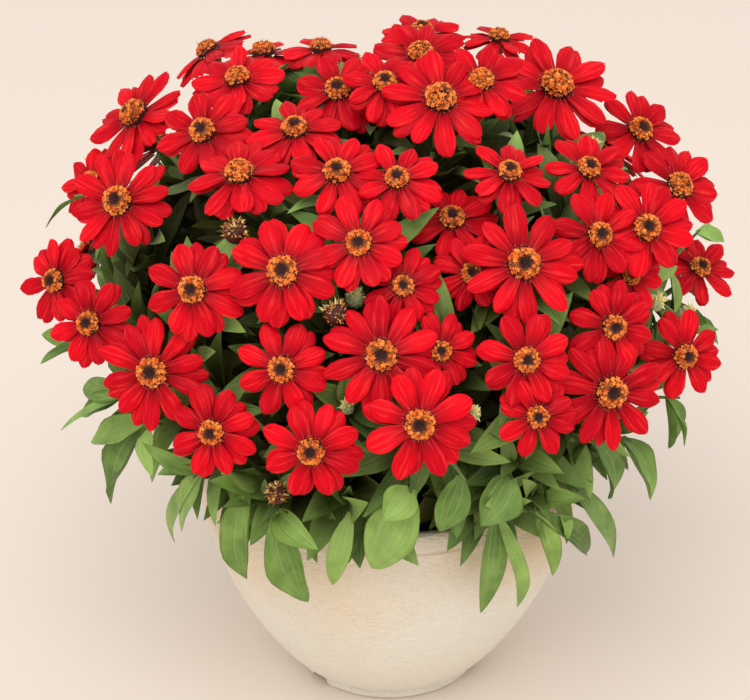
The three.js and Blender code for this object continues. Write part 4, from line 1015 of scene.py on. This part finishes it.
# A leaf that the mound and its neighbours left room for has its tip among the plant's corners
large = []
for crown, name in enumerate(CROWN_BEARINGS):
    corners = corners_of(f"plant_{name}")
    own = [(i, stem) for i, stem in enumerate(stems) if stem["crown"] == crown]
    sets = []
    for _, stem in own:
        if stem["kind"] == "shoot":
            base = place_along(stem["way"], LEAF_PLACE)
            sets += [[[(base, *leaf)]] for leaf in stem["head"]["leaves"]]
    sets += [leaf_pairs(stem["way"], PAIR_SEED + i) for i, stem in own if stem["kind"] == "leader"]
    for tries in sets:
        for leaves in tries:
            if all((np.linalg.norm(corners - leaf[1], axis=-1) < 0.05).any() for leaf in leaves):
                large += leaves
                break


def near_blooms(points, layer, room):
    """Which points lie in the flat round layer that some bloom's rays fill."""
    hit = np.zeros(points.shape[:-1], bool)
    for centre, facing, radius in zip(centres, facings, bloom_radii):
        head = {"centre": centre + facing, "facing": facing, "radius": radius}
        hit |= in_layer(points, head, layer, room)
    return hit


def in_pot(points, room):
    """Which points lie within a little room of the pot's wall and lip, or in what it holds."""
    out, high = np.hypot(points[..., 0], points[..., 1]), points[..., 2]
    wall = np.where(high < BOWL_TOP[1], bowl_radius(high), LIP_RADIUS) + room
    return (out < wall) & (high < POT_HEIGHT + room)


def mound_depth(points):
    """How far points lie under the face of the mound, in millimetres: its radius less the
    radius of the like ellipsoid, or skirt, that runs through each point."""
    out = np.hypot(points[..., 0] - MOUND_X, points[..., 1])
    above = points[..., 2] - MOUND_MIDDLE
    shell = np.where(above > 0, np.hypot(out / MOUND_RADIUS, above / MOUND_RISE) * MOUND_RADIUS,
                     out - SKIRT_SLOPE * above)
    return MOUND_RADIUS - shell


def leaf_grids(base, tip, up, width, shape, rows, columns):
    """Leaf blades: from its base a blade swells as a sine of a power of its length, widest at two
    fifths, and ends in a point. It arches towards up, folds up along the midrib and turns along
    its length, its edges wave, and three veins lie in shallow furrows."""
    arch, fold, turn, wave = (value[:, None, None] for value in shape)
    along = tip - base
    length = np.linalg.norm(along, axis=-1)[:, None, None]
    width = width[:, None, None]
    along = unit(along)[:, None, None]
    across = unit(np.cross(up[:, None, None], along))
    over = np.cross(along, across)
    even = np.linspace(0, 1, rows)
    s = (0.6 * even + 0.4 * (0.5 - 0.5 * np.cos(np.pi * even)))[None, :, None]
    v = np.linspace(-1, 1, columns)[None, None, :]
    profile = np.maximum(np.sin(np.pi * s ** 0.82) ** 0.8, np.clip(0.3 - 1.6 * s, 0.015, 0.3))
    side = width / 2 * profile * v
    high = length * arch * 4 * s * (1 - s) \
        + fold * width * profile * (v ** 2 - 0.35) * 0.5 + turn * side * s \
        + wave * width * 0.12 * np.abs(v) ** 1.5 * np.sin(10 * s + 2.5 * v + 20 * wave) * profile \
        - 0.02 * width * profile * np.cos(3 * np.pi * v)
    return base[:, None, None] + s[..., None] * length[..., None] * along + side[..., None] * across \
        + high[..., None] * over, over, s + 0 * side, v + 0 * side


def leaf_shapes(number, arch_low, arch_high):
    """Arch, fold, turn and waviness of a number of leaves, drawn for each leaf."""
    return (rng.uniform(arch_low, arch_high, number), rng.uniform(0.1, 0.9, number),
            rng.normal(0, 0.28, number), rng.uniform(-1, 1, number))


def leaf_values(grids, tone):
    """The flat place, depth in the mound and tone of each point of closed leaf blades."""
    upper, _, s, v = grids
    rows, columns = s.shape[1:]
    depth = np.clip(mound_depth(upper) / DARK_DEPTH, 0, 1)
    flat = np.stack([blade_values(s, rows, columns), blade_values(0.5 + 0.5 * v, rows, columns)], -1)
    return {"uv": flat, "leaf_tone": blade_values(tone[:, None, None], rows, columns),
            "leaf_depth": blade_values(depth, rows, columns)}


rng = np.random.default_rng(29)
base, tip, up, width = (np.array(part) for part in zip(*large))
base, tip, up, width = np.round(base), np.round(tip), unit(np.round(up, 1)), np.round(width)
large_grids = leaf_grids(base, tip, up, width, leaf_shapes(len(base), 0.07, 0.14), 13, 7)
large_points, large_faces = closed_blades(large_grids[0], large_grids[1], LEAF_THICKNESS)
large_values = leaf_values(large_grids, rng.uniform(0, 0.9, len(base)))


def spread_out(middles, spaces):
    """Which of the places to keep, taken in turn, so that each stands a space or more from all
    those kept before it."""
    chosen = np.zeros(len(middles), bool)
    for k, (middle, space) in enumerate(zip(middles, spaces)):
        chosen[k] = not (np.linalg.norm(middles[chosen] - middle, axis=-1) < space).any()
    return chosen


ATTEMPTS, RIM_TRIES, MOUND_TRIES = 26, 300, 260
REAR_FROM, REAR_STRETCH = 20, 1.3
TUCKED_IN, RIM_TOP, BOX_ROOM = 14, 236, 2
SHADE_FROM, SHADE_DEPTH = 25, 35
RIM_SPACE, FACE_SPACE, DEEP_SPACE = 14, 8.5, 18
room_low, room_high = np.array(cad_low) / MM - BOX_ROOM, np.array(cad_high) / MM + BOX_ROOM
kept = []
for attempt in range(ATTEMPTS):
    at_rim = attempt % 2 == 1
    if at_rim:
        stem = rng.integers((~is_shoot).sum(), len(stem_ways), RIM_TRIES)
        share = rng.uniform(0.35, 0.98, len(stem))
    else:
        stem = rng.integers(0, len(stem_ways), MOUND_TRIES)
        share = rng.uniform(0.15, 0.97, len(stem))
    place_on = share * 11.99
    lower = place_on.astype(int)
    part = (place_on - lower)[:, None]
    base = stem_ways[stem, lower] * (1 - part) + stem_ways[stem, lower + 1] * part
    along = unit(stem_ways[stem, lower + 1] - stem_ways[stem, lower])
    side = unit(np.cross(along, rng.normal(0, 1, along.shape)))
    for way in (-1, 1):
        lean = rng.uniform(0.25, 1.0, len(stem))[:, None]
        length = (rng.uniform(40, 66, len(stem)) * (1.1 - (0.1 if at_rim else 0.3) * share))[:, None]
        length = length * np.where(base[:, 1:2] > REAR_FROM, REAR_STRETCH, 1)
        outward = unit(base * (1, 1, 0) + 1e-6)
        droop = rng.uniform(-0.9, 0.1, (len(stem), 1)) if at_rim else 0.1
        out = (0.5 if at_rim else 0.25) * outward
        direction = unit(way * side + lean * along + out + droop * UPWARD)
        tip = base + length * direction
        up = unit(along * 0.7 + 0.5 * outward + (0, 0, 0.6))
        width = (length * rng.uniform(0.25, 0.36, length.shape))[:, 0]
        plain = np.ones((4, len(stem))) * [[0.1], [0.3], [0], [0]]
        probe = leaf_grids(base, tip, up, width, plain, 9, 5)[0][:, 2:, ::2]
        bad = near_blooms(probe, 4.2, 1.5) | in_pot(probe, 3)
        bad |= ((probe < room_low) | (probe > room_high)).any(-1)
        from_axis = np.hypot(probe[..., 0] - MOUND_X, probe[..., 1])
        bad |= from_axis > mound_edge(probe[..., 2]) - (0 if at_rim else TUCKED_IN)
        if at_rim:
            bad |= probe[..., 2] > RIM_TOP
        clear = ~bad.any((1, 2))
        leaves = (base, tip, up, width, np.full(len(stem), at_rim))
        kept.append([part[clear] for part in leaves])
base, tip, up, width, hangs = (np.concatenate(parts) for parts in zip(*kept))
middle = 0.4 * base + 0.6 * tip
shade = np.clip((mound_depth(middle) - SHADE_FROM) / SHADE_DEPTH, 0, 1)
spaces = np.where(hangs, RIM_SPACE, FACE_SPACE + (DEEP_SPACE - FACE_SPACE) * shade)
chosen = spread_out(middle, spaces)
base, tip, up, width = base[chosen], tip[chosen], up[chosen], width[chosen]
small_grids = leaf_grids(base, tip, up, width, leaf_shapes(len(base), 0.05, 0.13), 9, 5)
small_points, small_faces = closed_blades(small_grids[0], small_grids[1], LEAF_THICKNESS)
small_values = leaf_values(small_grids, rng.uniform(0, 1, len(base)) ** 1.3)

leaf_green, shader = new_finish("leaf_green", 0.55)
tone = shader.value("leaf_tone")
blotches = shader.maths("MULTIPLY_ADD", shader.noise(shader.place(), 55, detail=4), 1.6, -0.8)
blotched = shader.maths("ADD", tone, blotches, clamp=True)
shades = shader.ramp(blotched, (0, (0.12, 0.22, 0.041)), (1, (0.39, 0.585, 0.14)))
across = shader.part(shader.flat(), "Y")
midrib_space = shader.maths("ABSOLUTE", shader.maths("SUBTRACT", across, 0.5))
side_vein_space = shader.maths("ABSOLUTE", shader.maths("SUBTRACT", midrib_space, 0.22))
vein_space = shader.maths("MINIMUM", midrib_space, side_vein_space)
veins = shader.ramp(vein_space, (0, WHITE), (0.035, BLACK))
veined = shader.mix(shader.maths("MULTIPLY", veins, 0.5), shades, (0.36, 0.50, 0.20, 1))
# Painted shade: leaves darken to a brownish green the deeper they lie in the mound, where the growth above
# shades them.
painted_depth_shade = shader.ramp(shader.value("leaf_depth"), (0.12, WHITE), (0.52, (0.28, 0.18, 0.13)))
shaded_by_depth = shader.mix(1, veined, painted_depth_shade, "MULTIPLY")
strands = shader.use(blade_strands, {"Tone": tone, "Scale": (3, 26, 1), "Detail": 3}, "Strands")
strand_shade = shader.ramp(strands, (0.3, (0.62, 0.70, 0.62)), (0.65, WHITE))
stranded = shader.mix(0.5, shaded_by_depth, strand_shade, "MULTIPLY")
edge = shader.mapped(midrib_space, 0.46, 0.5, 0.5)
shader.paint(shader.mix(edge, stranded, (0.13, 0.08, 0.03, 1)))
shader.relief(veins, distance=0.0005, strength=0.5, invert=True)
large_leaves = make_piece("large_leaves", large_points, large_faces, leaf_green, "foliage", **large_values)
make_piece("small_leaves", small_points, small_faces, leaf_green, "foliage", **small_values)
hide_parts("plant_left", "plant_right", "plant_back")

# The stand for the picture: a plain pale floor, soft daylight from above in front and a little
# from the left, and a camera whose place, tilt and lens are judged from the photograph.
bpy.ops.mesh.primitive_plane_add(size=8, location=(0, 0, -0.0003))
floor = bpy.context.object
floor.name = "floor"
floor_pale, shader = new_finish("pale_floor", 0.8)
shader.paint((0.81, 0.71, 0.63, 1))
floor.data.materials.append(floor_pale)
floor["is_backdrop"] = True

world = bpy.data.worlds.new("daylight")
world.use_nodes = True
world.node_tree.nodes["Background"].inputs["Color"].default_value = (1, 0.98, 0.95, 1)
world.node_tree.nodes["Background"].inputs["Strength"].default_value = 0.95
bpy.context.scene.world = world
lamp = bpy.data.lights.new("window", "AREA")
lamp.energy = 36
lamp.shape = "DISK"
lamp.size = 2.0
window = bpy.data.objects.new("window", lamp)
window.location = (-0.3, -1.6, 2.5)
window.rotation_euler = (math.radians(36), 0, math.radians(-11))
bpy.context.scene.collection.objects.link(window)
window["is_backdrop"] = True

lens = bpy.data.cameras.new("camera")
lens.sensor_width = 36
lens.lens = FOCAL_PIXELS * lens.sensor_width / (2 * PICTURE_MIDDLE[0])
camera = bpy.data.objects.new("camera", lens)
camera.location = EYE * MM
camera.rotation_euler = (math.pi / 2 - PITCH, 0, 0)
bpy.context.scene.collection.objects.link(camera)
bpy.context.scene.camera = camera
bpy.context.scene.view_settings.view_transform = "Standard"

low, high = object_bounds()
